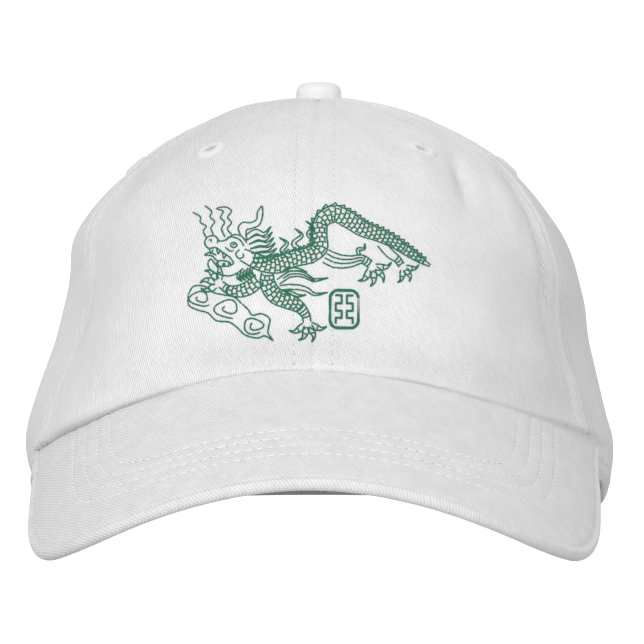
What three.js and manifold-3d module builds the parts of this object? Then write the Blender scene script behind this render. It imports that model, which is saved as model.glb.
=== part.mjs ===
import * as THREE from 'three';
import { mergeVertices } from 'three/addons/utils/BufferGeometryUtils.js';
import Module from 'manifold-3d';

// A soft six-panel cap with a curved peak. Millimetres, +Z up, the peak points along -Y and
// "left" is -X, as the cap is seen from the front. It rests on the peak's two front corners
// and on the back of its rim.

const cloth = 1.6;
const seamGap = 0.3;
const fitGap = 0.35;

const rim = { halfWidth: 83, front: 95, back: 93, squareness: 2.2 };
const apex = { y: 20, z: 123.4 };
const seams = { front: 0, temple: 69, rear: 120, back: 180 };
const peak = { bend: 88, slope: 21.5, thickness: 3.2, tuck: 2, endAngle: 66, columns: 32 };
const button = { radius: 6.75, height: 4.3, shank: 3.9, plate: 6.2, lift: 0.3 };
const topRing = 10.75;
// Steps over which the crown's slope is taken, in degrees and in rings.
const slopeStep = { angle: 0.4, ring: 0.02 };

// Half of the peak's flat outline: across from the middle, and forward from the joint's middle.
const peakOutline = [
  { across: 0, forward: 64 },
  { across: 22, forward: 63.6 },
  { across: 42, forward: 61 },
  { across: 58.5, forward: 55.5 },
  { across: 71.5, forward: 47 },
  { across: 81.5, forward: 36.5 },
  { across: 88.5, forward: 24 },
  { across: 93.2, forward: 10 },
  { across: 96, forward: -5 },
  { across: 97.2, forward: -20 },
  { across: 97.6, forward: -36 },
];

// Height of the rim behind the temple seam, where it leaves the peak.
const rimHeights = [
  { angle: 90, height: 7.5 },
  { angle: 115, height: 1 },
  { angle: 135, height: 0 },
  { angle: 180, height: 0 },
];

// Crown rings from the rim up. level is the share of the height, lean a sideways shift in mm, and
// shares are how much of the rim's distance from the crown's axis is left at each crown column.
const crownColumns = [0, 34, 69, 90, 120, 180];
const crownRings = [
  { level: 0, lean: 0, shares: [1, 1, 1, 1, 1, 1] },
  { level: 0.04, lean: 0.8, shares: [1.012, 1.014, 1.004, 1.008, 1.016, 1.015] },
  { level: 0.15, lean: 0.4, shares: [1.002, 1, 0.962, 1.026, 1.045, 1.04] },
  { level: 0.28, lean: 0.2, shares: [0.98, 0.968, 0.898, 0.975, 1.03, 1.065] },
  { level: 0.41, lean: 1.4, shares: [0.94, 0.924, 0.85, 0.924, 0.985, 1.06] },
  { level: 0.52, lean: 2, shares: [0.9, 0.884, 0.846, 0.897, 0.95, 1.02] },
  { level: 0.65, lean: 0.4, shares: [0.825, 0.816, 0.818, 0.856, 0.88, 0.93] },
  { level: 0.76, lean: 0.4, shares: [0.72, 0.718, 0.722, 0.748, 0.78, 0.82] },
  { level: 0.86, lean: 1, shares: [0.575, 0.575, 0.585, 0.596, 0.62, 0.66] },
  { level: 0.93, lean: 0.6, shares: [0.415, 0.415, 0.415, 0.415, 0.43, 0.47] },
  { level: 0.978, lean: -0.3, shares: [0.245, 0.245, 0.245, 0.245, 0.255, 0.275] },
  { level: 1, lean: 0, shares: [0, 0, 0, 0, 0, 0] },
];

// Soft valleys in the cloth. slant is how many degrees the valley moves round per ring.
const valleys = [
  { angle: 35, ring: 8.1, slant: 0, angleWidth: 12, ringWidth: 1.2, depth: 1.2 },
  { angle: 45, ring: 6.4, slant: 7, angleWidth: 8, ringWidth: 1.6, depth: 1.6 },
  { angle: 62, ring: 4.6, slant: 2, angleWidth: 7, ringWidth: 1.6, depth: 1.5 },
  { angle: -38, ring: 7, slant: 0, angleWidth: 10, ringWidth: 1, depth: 0.9 },
];

const panels = [
  { name: 'panel_front_left', from: -seams.temple, to: seams.front, columns: 14, eyelet: -34.5 },
  { name: 'panel_front_right', from: seams.front, to: seams.temple, columns: 14, eyelet: 34.5 },
  { name: 'panel_side_left', from: -seams.rear, to: -seams.temple, columns: 10, eyelet: -94.5 },
  { name: 'panel_side_right', from: seams.temple, to: seams.rear, columns: 10, eyelet: 94.5 },
  { name: 'panel_back_left', from: -seams.back, to: -seams.rear, columns: 11, eyelet: -150 },
  { name: 'panel_back_right', from: seams.rear, to: seams.back, columns: 11, eyelet: 150 },
];
const panelRings = [0, 0.4, 0.8, 1.3, 1.8, 2.4, 3, 3.7, 4.4, 5.1, 5.8, 6.5, 7.2, 7.9, 8.6, 9.2, 9.7, 10.1,
  10.5, topRing];
const eyelet = { ring: 7.7, hole: 2.9 };
// Radius and height of the ring's section, from the cloth's outer face.
const eyeletSection = [[1.75, -1.6], [2.55, -1.6], [2.55, 0.38], [4.7, 0.38], [4.4, 1], [2.5, 1.15],
  [1.75, 0.6], [1.75, -1.6]];

// The arched opening, and how far its cutter starts below the rim, behind it and runs forward.
const arch = { halfWidth: 32, height: 44, below: 5, behind: 22, depth: 60 };

// Bands inside the crown, between two angles. heights are above the rim.
const band = { thickness: 1.2, depth: cloth + 0.4, stepFrom: 160, stepTo: 166.5 };
const sweatbandDepth = cloth + 1.2;
const strapHeights = [0, 5, 10, 15, 20];
const sweatbandHeights = [2.5, 8, 14, 20, 26];
const bands = [
  { name: 'strap_outer', from: 168, to: 212, columns: 14, heights: strapHeights, depth: () => band.depth },
  { name: 'strap_inner', from: 148, to: 190, columns: 16, heights: strapHeights, depth: innerStrapDepth },
  {
    name: 'sweatband', from: -145, to: 145, columns: 58,
    heights: sweatbandHeights, depth: () => sweatbandDepth,
  },
];

function spread(from, to, count) {
  return Array.from({ length: count + 1 }, (_, i) => from + (to - from) * i / count);
}

// Cubic curve through the rows of a table, whose first column is the position.
function smoothThrough(rows, position) {
  const last = rows.length - 1;
  const slope = (i) => {
    const before = rows[Math.max(i - 1, 0)];
    const after = rows[Math.min(i + 1, last)];
    return before.map((value, k) => (after[k] - value) / (after[0] - before[0]));
  };
  const at = Math.min(Math.max(position, rows[0][0]), rows[last][0]);
  let i = 0;
  while (i < last - 1 && at >= rows[i + 1][0]) i += 1;
  const step = rows[i + 1][0] - rows[i][0];
  const s = (at - rows[i][0]) / step;
  const startSlope = slope(i);
  const endSlope = slope(i + 1);
  return rows[i].map((value, k) => (2 * s ** 3 - 3 * s ** 2 + 1) * value
    + (s ** 3 - 2 * s ** 2 + s) * step * startSlope[k]
    + (3 * s ** 2 - 2 * s ** 3) * rows[i + 1][k]
    + (s ** 3 - s ** 2) * step * endSlope[k]).slice(1);
}

// Plan of the rim at an angle from the front: a slightly squared oval.
function rimPlan(angle) {
  const across = Math.sin(THREE.MathUtils.degToRad(angle));
  const forward = Math.cos(THREE.MathUtils.degToRad(angle));
  const n = rim.squareness;
  const reach = (Math.abs(across) ** n + Math.abs(forward) ** n) ** (-1 / n);
  return [rim.halfWidth * across * reach, -(forward > 0 ? rim.front : rim.back) * forward * reach];
}

const slope = THREE.MathUtils.degToRad(peak.slope);

// The peak is a flat pattern rolled on a cylinder whose axis slopes down to the front. lift is the
// distance above its middle surface.
function peakPoint(across, forward, lift, jointHeight) {
  const turn = across / peak.bend;
  const radius = peak.bend + lift;
  const drop = peak.bend - radius * Math.cos(turn);
  return new THREE.Vector3(
    radius * Math.sin(turn),
    -rim.front - forward * Math.cos(slope) + drop * Math.sin(slope),
    jointHeight - forward * Math.sin(slope) - drop * Math.cos(slope),
  );
}

function peakForward(x, y, lift) {
  const radius = peak.bend + lift;
  const drop = peak.bend - Math.sqrt(radius ** 2 - x ** 2);
  return (-rim.front + drop * Math.sin(slope) - y) / Math.cos(slope);
}

const outlineSteps = 400;
const outlineCurve = Array.from({ length: outlineSteps + 1 }, (_, i) => {
  const rows = peakOutline.map((row, k) => [k / (peakOutline.length - 1), row.across, row.forward]);
  return new THREE.Vector2(...smoothThrough(rows, i / outlineSteps));
});
const outlineLengths = outlineCurve.map(() => 0);
for (let i = 1; i <= outlineSteps; i += 1) {
  outlineLengths[i] = outlineLengths[i - 1] + outlineCurve[i].distanceTo(outlineCurve[i - 1]);
}

function outlineAt(share) {
  const length = share * outlineLengths[outlineSteps];
  let i = 0;
  while (i < outlineSteps - 1 && outlineLengths[i + 1] < length) i += 1;
  const part = (length - outlineLengths[i]) / (outlineLengths[i + 1] - outlineLengths[i]);
  return outlineCurve[i].clone().lerp(outlineCurve[i + 1], part);
}

// One face of the peak, from its rounded outer edge to an inner edge that runs under the crown.
function peakFace(side, height) {
  const edge = [[0, 0], [0.35, 0.62], [1.1, 0.93], [2.2, 1]];
  const inside = [[0.38, 1], [0.52, 1], [0.66, 1], [0.82, 1], [1, 1]];
  return spread(-1, 1, peak.columns).map((part) => {
    const outer = outlineAt(Math.abs(part));
    if (part < 0) outer.x *= -1;
    const angle = part * peak.endAngle;
    const ahead = rimPlan(angle + 0.5);
    const behind = rimPlan(angle - 0.5);
    const inward = new THREE.Vector2(behind[1] - ahead[1], ahead[0] - behind[0]).setLength(peak.tuck);
    const [x, y] = inward.add(new THREE.Vector2(...rimPlan(angle)));
    const joint = new THREE.Vector2(peak.bend * Math.asin(x / peak.bend), peakForward(x, y, 0));
    const length = outer.distanceTo(joint);
    const rounded = edge.map(([distance, fullness]) => [
      Math.min(distance / length, 0.13 * distance), fullness,
    ]);
    return [...rounded, ...inside].map(([share, fullness]) => {
      const place = outer.clone().lerp(joint, share);
      return peakPoint(place.x, place.y, side * peak.thickness / 2 * fullness, height);
    });
  });
}

// The joint is as high as it must be for the peak's corners to stand at height zero.
const jointHeight = -Math.min(...peakFace(-1, 0).flat().map((point) => point.z));

// Height of the cloth's edge just above the peak, over a point of the plan.
function edgeOnPeak(x, y) {
  const lift = peak.thickness / 2;
  const forward = peakForward(x, y, lift);
  const drop = peak.bend - Math.sqrt((peak.bend + lift) ** 2 - x ** 2);
  return jointHeight - forward * Math.sin(slope) - drop * Math.cos(slope) + fitGap;
}

const rimRows = [[seams.temple, edgeOnPeak(...rimPlan(seams.temple))],
  ...rimHeights.map((row) => [row.angle, row.height])];

function rimHeight(angle) {
  const round = Math.abs(angle > 180 ? 360 - angle : angle);
  if (round < seams.temple) return edgeOnPeak(...rimPlan(angle));
  return Math.max(smoothThrough(rimRows, round)[0], 0);
}

const ringRows = crownRings.map((row, i) => [i, row.level, row.lean, ...row.shares]);

// The crown's outer face.
function crownPoint(angle, ring) {
  const round = Math.abs(angle > 180 ? 360 - angle : angle);
  const [level, lean, ...shares] = smoothThrough(ringRows, ring);
  const columns = crownColumns.map((column, i) => [column, shares[i]]);
  columns.unshift([-crownColumns[1], shares[1]]);
  columns.push([360 - crownColumns[4], shares[4]]);
  let share = smoothThrough(columns, round)[0];
  const [x, y] = rimPlan(angle);
  for (const valley of valleys) {
    const sideways = (angle - valley.angle - valley.slant * (ring - valley.ring)) / valley.angleWidth;
    const upwards = (ring - valley.ring) / valley.ringWidth;
    share -= valley.depth / Math.hypot(x, y - apex.y) * Math.exp(-(sideways ** 2) - upwards ** 2);
  }
  const base = rimHeight(angle);
  return new THREE.Vector3(
    x * share + lean * Math.sin(THREE.MathUtils.degToRad(angle)) ** 2,
    apex.y + (y - apex.y) * share,
    base + (apex.z - base) * level,
  );
}

function crownNormal(angle, ring) {
  const { angle: turn, ring: rise } = slopeStep;
  const along = crownPoint(angle + turn, ring).sub(crownPoint(angle - turn, ring));
  const up = crownPoint(angle, ring + rise).sub(crownPoint(angle, Math.max(ring - rise, 0)));
  return along.cross(up).normalize();
}

// A point at a depth inside the crown's outer face. The lowest row keeps the rim's height.
function clothPoint(angle, ring, depth) {
  const point = crownPoint(angle, ring).addScaledVector(crownNormal(angle, ring), -depth);
  if (ring === 0) {
    point.z = Math.abs(angle) < seams.temple ? edgeOnPeak(point.x, point.y) : rimHeight(angle);
  }
  return point;
}

// A closed sheet between two grids of points, wound so that the outer grid faces out.
function closedSheet(outer, inner) {
  const columns = outer.length - 1;
  const rows = outer[0].length - 1;
  const positions = [];
  const triangle = (a, b, c) => positions.push(...a.toArray(), ...b.toArray(), ...c.toArray());
  const quad = (a, b, c, d) => {
    triangle(a, b, c);
    triangle(a, c, d);
  };
  for (let i = 0; i < columns; i += 1) {
    for (let j = 0; j < rows; j += 1) {
      quad(outer[i][j], outer[i + 1][j], outer[i + 1][j + 1], outer[i][j + 1]);
      quad(inner[i][j], inner[i][j + 1], inner[i + 1][j + 1], inner[i + 1][j]);
    }
  }
  const loop = [];
  for (let i = 0; i < columns; i += 1) loop.push([i, 0]);
  for (let j = 0; j < rows; j += 1) loop.push([columns, j]);
  for (let i = columns; i > 0; i -= 1) loop.push([i, rows]);
  for (let j = rows; j > 0; j -= 1) loop.push([0, j]);
  loop.forEach(([i, j], k) => {
    const [iNext, jNext] = loop[(k + 1) % loop.length];
    quad(outer[iNext][jNext], outer[i][j], inner[i][j], inner[iNext][jNext]);
  });
  const geometry = new THREE.BufferGeometry();
  geometry.setAttribute('position', new THREE.Float32BufferAttribute(positions, 3));
  return sharedVertices(geometry);
}

// One vertex per place, without the triangles that this closes up.
function sharedVertices(geometry) {
  const bare = geometry.index ? geometry.toNonIndexed() : geometry.clone();
  bare.deleteAttribute('normal');
  bare.deleteAttribute('uv');
  const merged = mergeVertices(bare, 1e-4);
  const kept = [];
  const { array } = merged.index;
  for (let i = 0; i < array.length; i += 3) {
    const [a, b, c] = array.slice(i, i + 3);
    if (a !== b && b !== c && c !== a) kept.push(a, b, c);
  }
  merged.setIndex(kept);
  return merged;
}

const wasm = await Module();
wasm.setup();

function toSolid(geometry) {
  const shared = sharedVertices(geometry);
  return new wasm.Manifold(new wasm.Mesh({
    numProp: 3,
    vertProperties: new Float32Array(shared.attributes.position.array),
    triVerts: new Uint32Array(shared.index.array),
  }));
}

function fromSolid(solid) {
  const mesh = solid.getMesh();
  const geometry = new THREE.BufferGeometry();
  geometry.setAttribute('position', new THREE.Float32BufferAttribute(mesh.vertProperties, 3));
  geometry.setIndex(Array.from(mesh.triVerts));
  return geometry;
}

// The panel's edges stay half a seam gap from the seams, whatever the crown's radius there.
function panelPoint(panel, part, ring, depth) {
  const edge = (angle, sign) => {
    const point = crownPoint(angle, ring);
    const radius = Math.hypot(point.x, point.y - apex.y);
    return angle + sign * THREE.MathUtils.radToDeg(seamGap / 2 / radius);
  };
  return clothPoint(THREE.MathUtils.lerp(edge(panel.from, 1), edge(panel.to, -1), part), ring, depth);
}

function eyeletPlace(angle) {
  const normal = crownNormal(angle, eyelet.ring);
  return new THREE.Matrix4().compose(
    crownPoint(angle, eyelet.ring),
    new THREE.Quaternion().setFromUnitVectors(new THREE.Vector3(0, 1, 0), normal),
    new THREE.Vector3(1, 1, 1),
  );
}

// Half an oval with its middle on the rim, cut through the back from inside to outside.
const archShape = new THREE.Shape();
archShape.moveTo(-arch.halfWidth, -arch.below);
archShape.lineTo(arch.halfWidth, -arch.below);
archShape.absellipse(0, 0, arch.halfWidth, arch.height, 0, Math.PI, false);
const archOptions = { depth: arch.depth, bevelEnabled: false, curveSegments: 24 };
const archGeometry = new THREE.ExtrudeGeometry(archShape, archOptions);
const archCutter = toSolid(archGeometry.rotateX(Math.PI / 2).translate(0, rim.back + arch.behind, 0));

function panelGeometry(panel) {
  const grid = (depth) => spread(0, 1, panel.columns)
    .map((part) => panelRings.map((ring) => panelPoint(panel, part, ring, depth)));
  const hole = new THREE.CylinderGeometry(eyelet.hole, eyelet.hole, 8, 20);
  hole.applyMatrix4(eyeletPlace(panel.eyelet));
  let solid = toSolid(closedSheet(grid(0), grid(cloth))).subtract(toSolid(hole));
  if (panel.from === -seams.back || panel.to === seams.back) solid = solid.subtract(archCutter);
  return fromSolid(solid);
}

// The inner strap lies against the right back panel, then steps in to pass behind the outer strap.
function innerStrapDepth(angle) {
  const step = THREE.MathUtils.smoothstep(angle, band.stepFrom, band.stepTo);
  return band.depth + step * (band.thickness + fitGap);
}

// The ring at a height above the rim, halved in on because the height only grows with the ring.
function ringAtHeight(angle, height) {
  const level = height / (apex.z - rimHeight(angle));
  let low = 0;
  let high = crownRings.length - 1;
  for (let i = 0; i < 20; i += 1) {
    const middle = (low + high) / 2;
    if (smoothThrough(ringRows, middle)[0] < level) low = middle;
    else high = middle;
  }
  return height === 0 ? 0 : high;
}

function bandGeometry({ from, to, columns, heights, depth }) {
  const grid = (extra) => spread(from, to, columns).map((angle) => heights
    .map((height) => clothPoint(angle, ringAtHeight(angle, height), depth(angle) + extra)));
  return closedSheet(grid(0), grid(band.thickness));
}

// Covered dome, shank through the hole where the panels meet, and back plate inside. Heights are
// above the dome's base.
const domeSection = [
  [0, -3.9], [button.plate, -3.9], [button.plate, -3], [button.shank, -2.8], [button.shank, 0],
  [button.radius - 0.3, 0], [button.radius, 0.6], [button.radius, 1.5], [button.radius - 0.5, 2.7],
  [button.radius - 1.7, 3.6], [button.radius - 3.6, 4.1], [0, button.height],
];

const crownCloth = new THREE.MeshStandardMaterial({ color: 0xebebea, roughness: 0.95, metalness: 0 });
const peakCloth = new THREE.MeshStandardMaterial({ color: 0xe2e2e1, roughness: 0.95, metalness: 0 });
const thread = new THREE.MeshStandardMaterial({ color: 0xf0f0ef, roughness: 0.7, metalness: 0 });

const cap = new THREE.Group();

function turned(section, segments) {
  const profile = section.map(([radius, height]) => new THREE.Vector2(radius, height));
  return sharedVertices(new THREE.LatheGeometry(profile, segments));
}

function addMesh(name, geometry, material) {
  geometry.computeVertexNormals();
  const mesh = new THREE.Mesh(geometry, material);
  mesh.name = name;
  cap.add(mesh);
  return mesh;
}

for (const panel of panels) {
  addMesh(panel.name, panelGeometry(panel), crownCloth);
  const eyeletMesh = addMesh(panel.name.replace('panel', 'eyelet'), turned(eyeletSection, 16), thread);
  eyeletMesh.applyMatrix4(eyeletPlace(panel.eyelet));
}
addMesh('visor', closedSheet(peakFace(1, jointHeight), peakFace(-1, jointHeight)), peakCloth);
const buttonMesh = addMesh('button', turned(domeSection, 24), peakCloth);
buttonMesh.rotation.x = Math.PI / 2;
buttonMesh.position.set(0, apex.y, apex.z + button.lift);
for (const piece of bands) addMesh(piece.name, bandGeometry(piece), crownCloth);

// The origin is under the middle of the cap, at the height that it stands on.
const bounds = new THREE.Box3().setFromObject(cap, true);
cap.position.set(-(bounds.min.x + bounds.max.x) / 2, -(bounds.min.y + bounds.max.y) / 2, -bounds.min.z);
cap.updateMatrixWorld(true);

export default cap;
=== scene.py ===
import math
import bpy
import numpy as np
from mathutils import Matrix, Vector


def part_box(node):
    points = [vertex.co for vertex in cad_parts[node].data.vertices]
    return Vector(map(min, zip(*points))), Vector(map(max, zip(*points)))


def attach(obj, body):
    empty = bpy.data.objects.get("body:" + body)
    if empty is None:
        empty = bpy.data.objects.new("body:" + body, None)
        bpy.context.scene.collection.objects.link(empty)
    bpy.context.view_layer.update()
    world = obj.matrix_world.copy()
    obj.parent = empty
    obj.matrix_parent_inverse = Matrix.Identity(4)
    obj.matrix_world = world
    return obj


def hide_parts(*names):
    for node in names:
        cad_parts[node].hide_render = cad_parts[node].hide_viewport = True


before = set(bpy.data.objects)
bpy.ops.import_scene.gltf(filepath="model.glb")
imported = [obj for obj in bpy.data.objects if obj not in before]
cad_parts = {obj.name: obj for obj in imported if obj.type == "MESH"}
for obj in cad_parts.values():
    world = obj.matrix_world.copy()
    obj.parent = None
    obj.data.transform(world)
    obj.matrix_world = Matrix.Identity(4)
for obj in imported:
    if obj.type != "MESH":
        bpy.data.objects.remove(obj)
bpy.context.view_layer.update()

# Shapes are worked out in millimetres round the middle of the rim, with the floor at z = 0, and
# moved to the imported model's place when their mesh is made. Angles are degrees from the front.
rim = {"halfWidth": 83.0, "front": 95.0, "back": 93.0, "squareness": 2.2}
seams = {"temple": 69.0, "rear": 120.0, "back": 180.0}
seamAngles = (-seams["rear"], -seams["temple"], 0, seams["temple"], seams["rear"], seams["back"])
apex = {"y": 20.0, "z": 123.4}
peak = {"bend": 88.0, "slope": math.radians(21.5), "thickness": 3.2, "tuck": 2.0}
arch = {"halfWidth": 32.0, "height": 44.0}
cloth = 1.6

# How many points a curve is sampled at, and the steps in degrees and rings that slopes are taken over.
samples = {"levels": 2000, "walk": 400, "outline": 600, "edge": 361, "stitchRow": 1200}
slopeSteps = {"turn": 0.4, "rise": 0.02}

buttonBox = np.array([list(corner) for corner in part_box("button")])
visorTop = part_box("visor")[1][2] * 1000
frameShift = np.append(buttonBox.mean(0)[:2], 0) - np.array([0, apex["y"] / 1000, 0])
jointHeight = (visorTop - peak["tuck"] * math.tan(peak["slope"])
               - peak["thickness"] / 2 * math.cos(peak["slope"]))

# Half of the peak's flat outline: across from the middle, forward from the joint's middle.
peakOutline = np.array([
    (0, 64), (22, 63.6), (42, 61), (58.5, 55.5), (71.5, 47), (81.5, 36.5),
    (88.5, 24), (93.2, 10), (96, -5), (97.2, -20), (97.6, -36), (98.2, -49), (99.2, -62)], float)

# Rim height behind the temple seam, by angle.
rimHeights = np.array([(90, 7.5), (115, 1), (135, 0), (180, 0)], float)

# Crown rings from the rim up: share of the height, sideways lean, then the share of the rim's
# distance from the crown's axis at each column.
crownColumns = np.array([0, 34, 69, 90, 120, 180], float)
crownRings = np.array([
    (0.000, 0.0, 1.000, 1.000, 1.000, 1.000, 1.000, 1.000),
    (0.040, 0.8, 1.012, 1.014, 1.004, 1.008, 1.016, 1.015),
    (0.150, 0.4, 1.002, 1.000, 0.962, 1.026, 1.045, 1.040),
    (0.280, 0.2, 0.980, 0.968, 0.898, 0.975, 1.030, 1.065),
    (0.410, 1.4, 0.940, 0.924, 0.850, 0.924, 0.985, 1.060),
    (0.520, 2.0, 0.900, 0.884, 0.846, 0.897, 0.950, 1.020),
    (0.650, 0.4, 0.825, 0.816, 0.818, 0.856, 0.880, 0.930),
    (0.760, 0.4, 0.720, 0.718, 0.722, 0.748, 0.780, 0.820),
    (0.860, 1.0, 0.575, 0.575, 0.585, 0.596, 0.620, 0.660),
    (0.930, 0.6, 0.415, 0.415, 0.415, 0.415, 0.430, 0.470),
    (0.978, -0.3, 0.245, 0.245, 0.245, 0.245, 0.255, 0.275),
    (1.000, 0.0, 0.000, 0.000, 0.000, 0.000, 0.000, 0.000)])
topRing = 10.75

# Soft valleys in the crown: angle, ring, slant in degrees per ring, widths in degrees and rings, depth.
valleys = np.array([
    (35, 8.1, 0, 12, 1.2, 1.2),
    (45, 6.4, 7, 8, 1.6, 1.6),
    (62, 4.6, 2, 7, 1.6, 1.5),
    (-38, 7.0, 0, 10, 1.0, 0.9)], float)


# Cubic curve through the rows: each span is a Hermite cubic whose end slopes come from the
# neighbouring rows.
def smoothThrough(knots, values, x):
    knots = np.asarray(knots, float)
    values = np.asarray(values, float)
    extra = (1,) * (values.ndim - 1)
    slopes = np.empty_like(values)
    slopes[1:-1] = (values[2:] - values[:-2]) / (knots[2:] - knots[:-2]).reshape((-1,) + extra)
    slopes[0] = (values[1] - values[0]) / (knots[1] - knots[0])
    slopes[-1] = (values[-1] - values[-2]) / (knots[-1] - knots[-2])
    x = np.clip(x, knots[0], knots[-1])
    i = np.clip(np.searchsorted(knots, x, side="right") - 1, 0, len(knots) - 2)
    step = (knots[i + 1] - knots[i]).reshape(x.shape + extra)
    s = (x - knots[i]).reshape(x.shape + extra) / step
    return ((2 * s**3 - 3 * s**2 + 1) * values[i] + (s**3 - 2 * s**2 + s) * step * slopes[i]
            + (3 * s**2 - 2 * s**3) * values[i + 1] + (s**3 - s**2) * step * slopes[i + 1])


# From 0 at low to 1 at high, level at both ends: the cubic s * s * (3 - 2 * s).
def smoothStep(low, high, x):
    s = np.clip((x - low) / (high - low), 0, 1)
    return s * s * (3 - 2 * s)


# Rim in plan: a superellipse with its own half lengths to the front and to the back.
def rimPlan(angle):
    across, forward = np.sin(np.radians(angle)), np.cos(np.radians(angle))
    n = rim["squareness"]
    reach = (np.abs(across) ** n + np.abs(forward) ** n) ** (-1 / n)
    return rim["halfWidth"] * across * reach, -np.where(forward > 0, rim["front"], rim["back"]) * forward * reach


# Peak: the flat pattern rolled on a cylinder of radius bend whose axis slopes down to the front.
def peakPoint(across, forward, lift):
    turn = across / peak["bend"]
    radius = peak["bend"] + lift
    drop = peak["bend"] - radius * np.cos(turn)
    slope = peak["slope"]
    return np.stack([radius * np.sin(turn),
                     -rim["front"] - forward * np.cos(slope) + drop * np.sin(slope),
                     jointHeight - forward * np.sin(slope) - drop * np.cos(slope)], -1)


# Height of the peak's top face and the pattern's forward coordinate under a point of the plan.
def peakUnder(x, y, lift):
    slope = peak["slope"]
    drop = peak["bend"] - np.sqrt(np.maximum((peak["bend"] + lift) ** 2 - x ** 2, 0))
    forward = (-rim["front"] + drop * np.sin(slope) - y) / np.cos(slope)
    return jointHeight - forward * np.sin(slope) - drop * np.cos(slope), forward


# Degrees away from the front; angles past the back seam count back down again.
def awayFromFront(angle):
    return 180 - np.abs(180 - np.abs(angle))


# The same angle between -180 and 180, for places past the back seam.
def turnedBack(angle):
    return np.where(angle > 180, angle - 360, angle)


# Bell curve: 1 in the middle, and 0.37 a width away from it.
def bell(x, middle, width):
    return np.exp(-((x - middle) / width) ** 2)


# Sum of bell curves in angle and ring, each of which slides in angle by its slant for each ring.
def bells(rows, angle, ring):
    total = 0.0 * angle * ring
    for at, level, slant, wide, tall, depth in rows:
        total = total + depth * bell(angle, at + slant * (ring - level), wide) * bell(ring, level, tall)
    return total


# Height of the crown's lower edge: the peak's top face in front of the temple seam, and the rows of
# rimHeights behind it.
def rimHeight(angle):
    away = awayFromFront(angle)
    onPeak = peakUnder(*rimPlan(angle), peak["thickness"] / 2)[0]
    temple = peakUnder(*rimPlan(np.array(seams["temple"])), peak["thickness"] / 2)[0]
    rows = np.vstack([[seams["temple"], temple], rimHeights])
    behind = np.maximum(smoothThrough(rows[:, 0], rows[:, 1], away), 0)
    return np.where(away < seams["temple"], onPeak, behind)


# Weight of each crown column at an angle, mirrored in front and behind so the crown is smooth there.
def columnWeights(angle):
    knots = np.concatenate([-crownColumns[1:2], crownColumns, [360 - crownColumns[-2]]])
    weights = np.zeros((len(knots), len(crownColumns)))
    weights[1:-1] = np.eye(len(crownColumns))
    weights[0], weights[-1] = weights[2], weights[-3]
    return smoothThrough(knots, weights, awayFromFront(angle))


# Crown: each ring is the rim's plan shrunk towards the crown's axis and lifted to its level, less
# the valleys, which are bell curves in angle and ring.
def crownPoint(angle, ring):
    angle, ring = np.broadcast_arrays(np.asarray(angle, float), np.asarray(ring, float))
    row = smoothThrough(np.arange(len(crownRings)), crownRings, ring)
    share = (row[..., 2:] * columnWeights(angle)).sum(-1)
    x, y = rimPlan(angle)
    share = share - bells(valleys, angle, ring) / np.hypot(x, y - apex["y"])
    base = rimHeight(angle)
    return np.stack([x * share + row[..., 1] * np.sin(np.radians(angle)) ** 2,
                     apex["y"] + (y - apex["y"]) * share,
                     base + (apex["z"] - base) * row[..., 0]], -1)


# Millimetres along a ring for each degree.
def crownSpeed(angle, ring):
    return np.linalg.norm(crownPoint(angle + 0.5, ring) - crownPoint(angle - 0.5, ring), axis=-1)


# Vectors divided by their lengths.
def unit(v):
    return v / np.maximum(np.linalg.norm(v, axis=-1, keepdims=True), 1e-12)


# Distances run along each line of points, from 0: the sum of the steps so far.
def runAlong(points):
    steps = np.linalg.norm(np.diff(points, axis=-2), axis=-1)
    return np.concatenate([np.zeros_like(steps[..., :1]), np.cumsum(steps, -1)], -1)


# Outward direction: across the crown's slopes in angle and in ring.
def crownNormal(angle, ring):
    turn, rise = slopeSteps["turn"], slopeSteps["rise"]
    along = crownPoint(angle + turn, ring) - crownPoint(angle - turn, ring)
    up = crownPoint(angle, ring + rise) - crownPoint(angle, np.maximum(ring - rise, 0))
    return unit(np.cross(along, up))


# The ring at a height above the rim, from the levels' curve turned round.
fineRings = np.linspace(0, len(crownRings) - 1, samples["levels"])
fineLevels = smoothThrough(np.arange(len(crownRings)), crownRings[:, 0], fineRings)


def ringAtHeight(angle, height):
    return np.interp(height / (apex["z"] - rimHeight(angle)), fineLevels, fineRings)


# The angle and ring where the crown passes through x and z, by Newton steps from a first guess. turn
# and rise are the small steps that the slopes are measured with.
newton = {"steps": 8, "turn": 0.2, "rise": 0.02, "highest": 10.6}


def crownAt(x, z, behind=False):
    angle = np.degrees(np.arcsin(np.clip(x / rim["halfWidth"], -0.9, 0.9)))
    if behind:
        angle = np.where(x < 0, -180, 180) - angle
    ring = ringAtHeight(angle, z - rimHeight(angle))
    turn, rise = newton["turn"], newton["rise"]
    for step in range(newton["steps"]):
        here = crownPoint(angle, ring)
        turned = (crownPoint(angle + turn, ring) - here) / turn
        raised = (crownPoint(angle, ring + rise) - here) / rise
        missX, missZ = x - here[..., 0], z - here[..., 2]
        size = turned[..., 0] * raised[..., 2] - raised[..., 0] * turned[..., 2]
        angle = angle + (missX * raised[..., 2] - missZ * raised[..., 0]) / size
        ring = np.clip(ring + (missZ * turned[..., 0] - missX * turned[..., 2]) / size, 0, newton["highest"])
    return angle, ring


# Relief of the sewing, and slack waves whose lengths run from short to long, all in mm. degree and
# ring are the millimetres that the waves count for a step in angle and in ring.
sewing = {"dip": 0.55, "dipWidth": 0.75, "rise": 0.34, "allowance": 6.8, "fade": 0.9, "row": 5.4, "rowDip": 0.34,
          "rowWidth": 0.7, "tape": 0.6, "tapeEdge": (6.2, 7.0)}
waves = {"count": 14, "height": 0.11, "short": 16.0, "long": 46.0, "degree": 1.45, "ring": 13.0}
waveSeed = np.random.default_rng(11)
waveTurns = waveSeed.uniform(0, 2 * math.pi, (waves["count"], 2))
waveLengths = np.geomspace(waves["short"], waves["long"], waves["count"])

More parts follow.
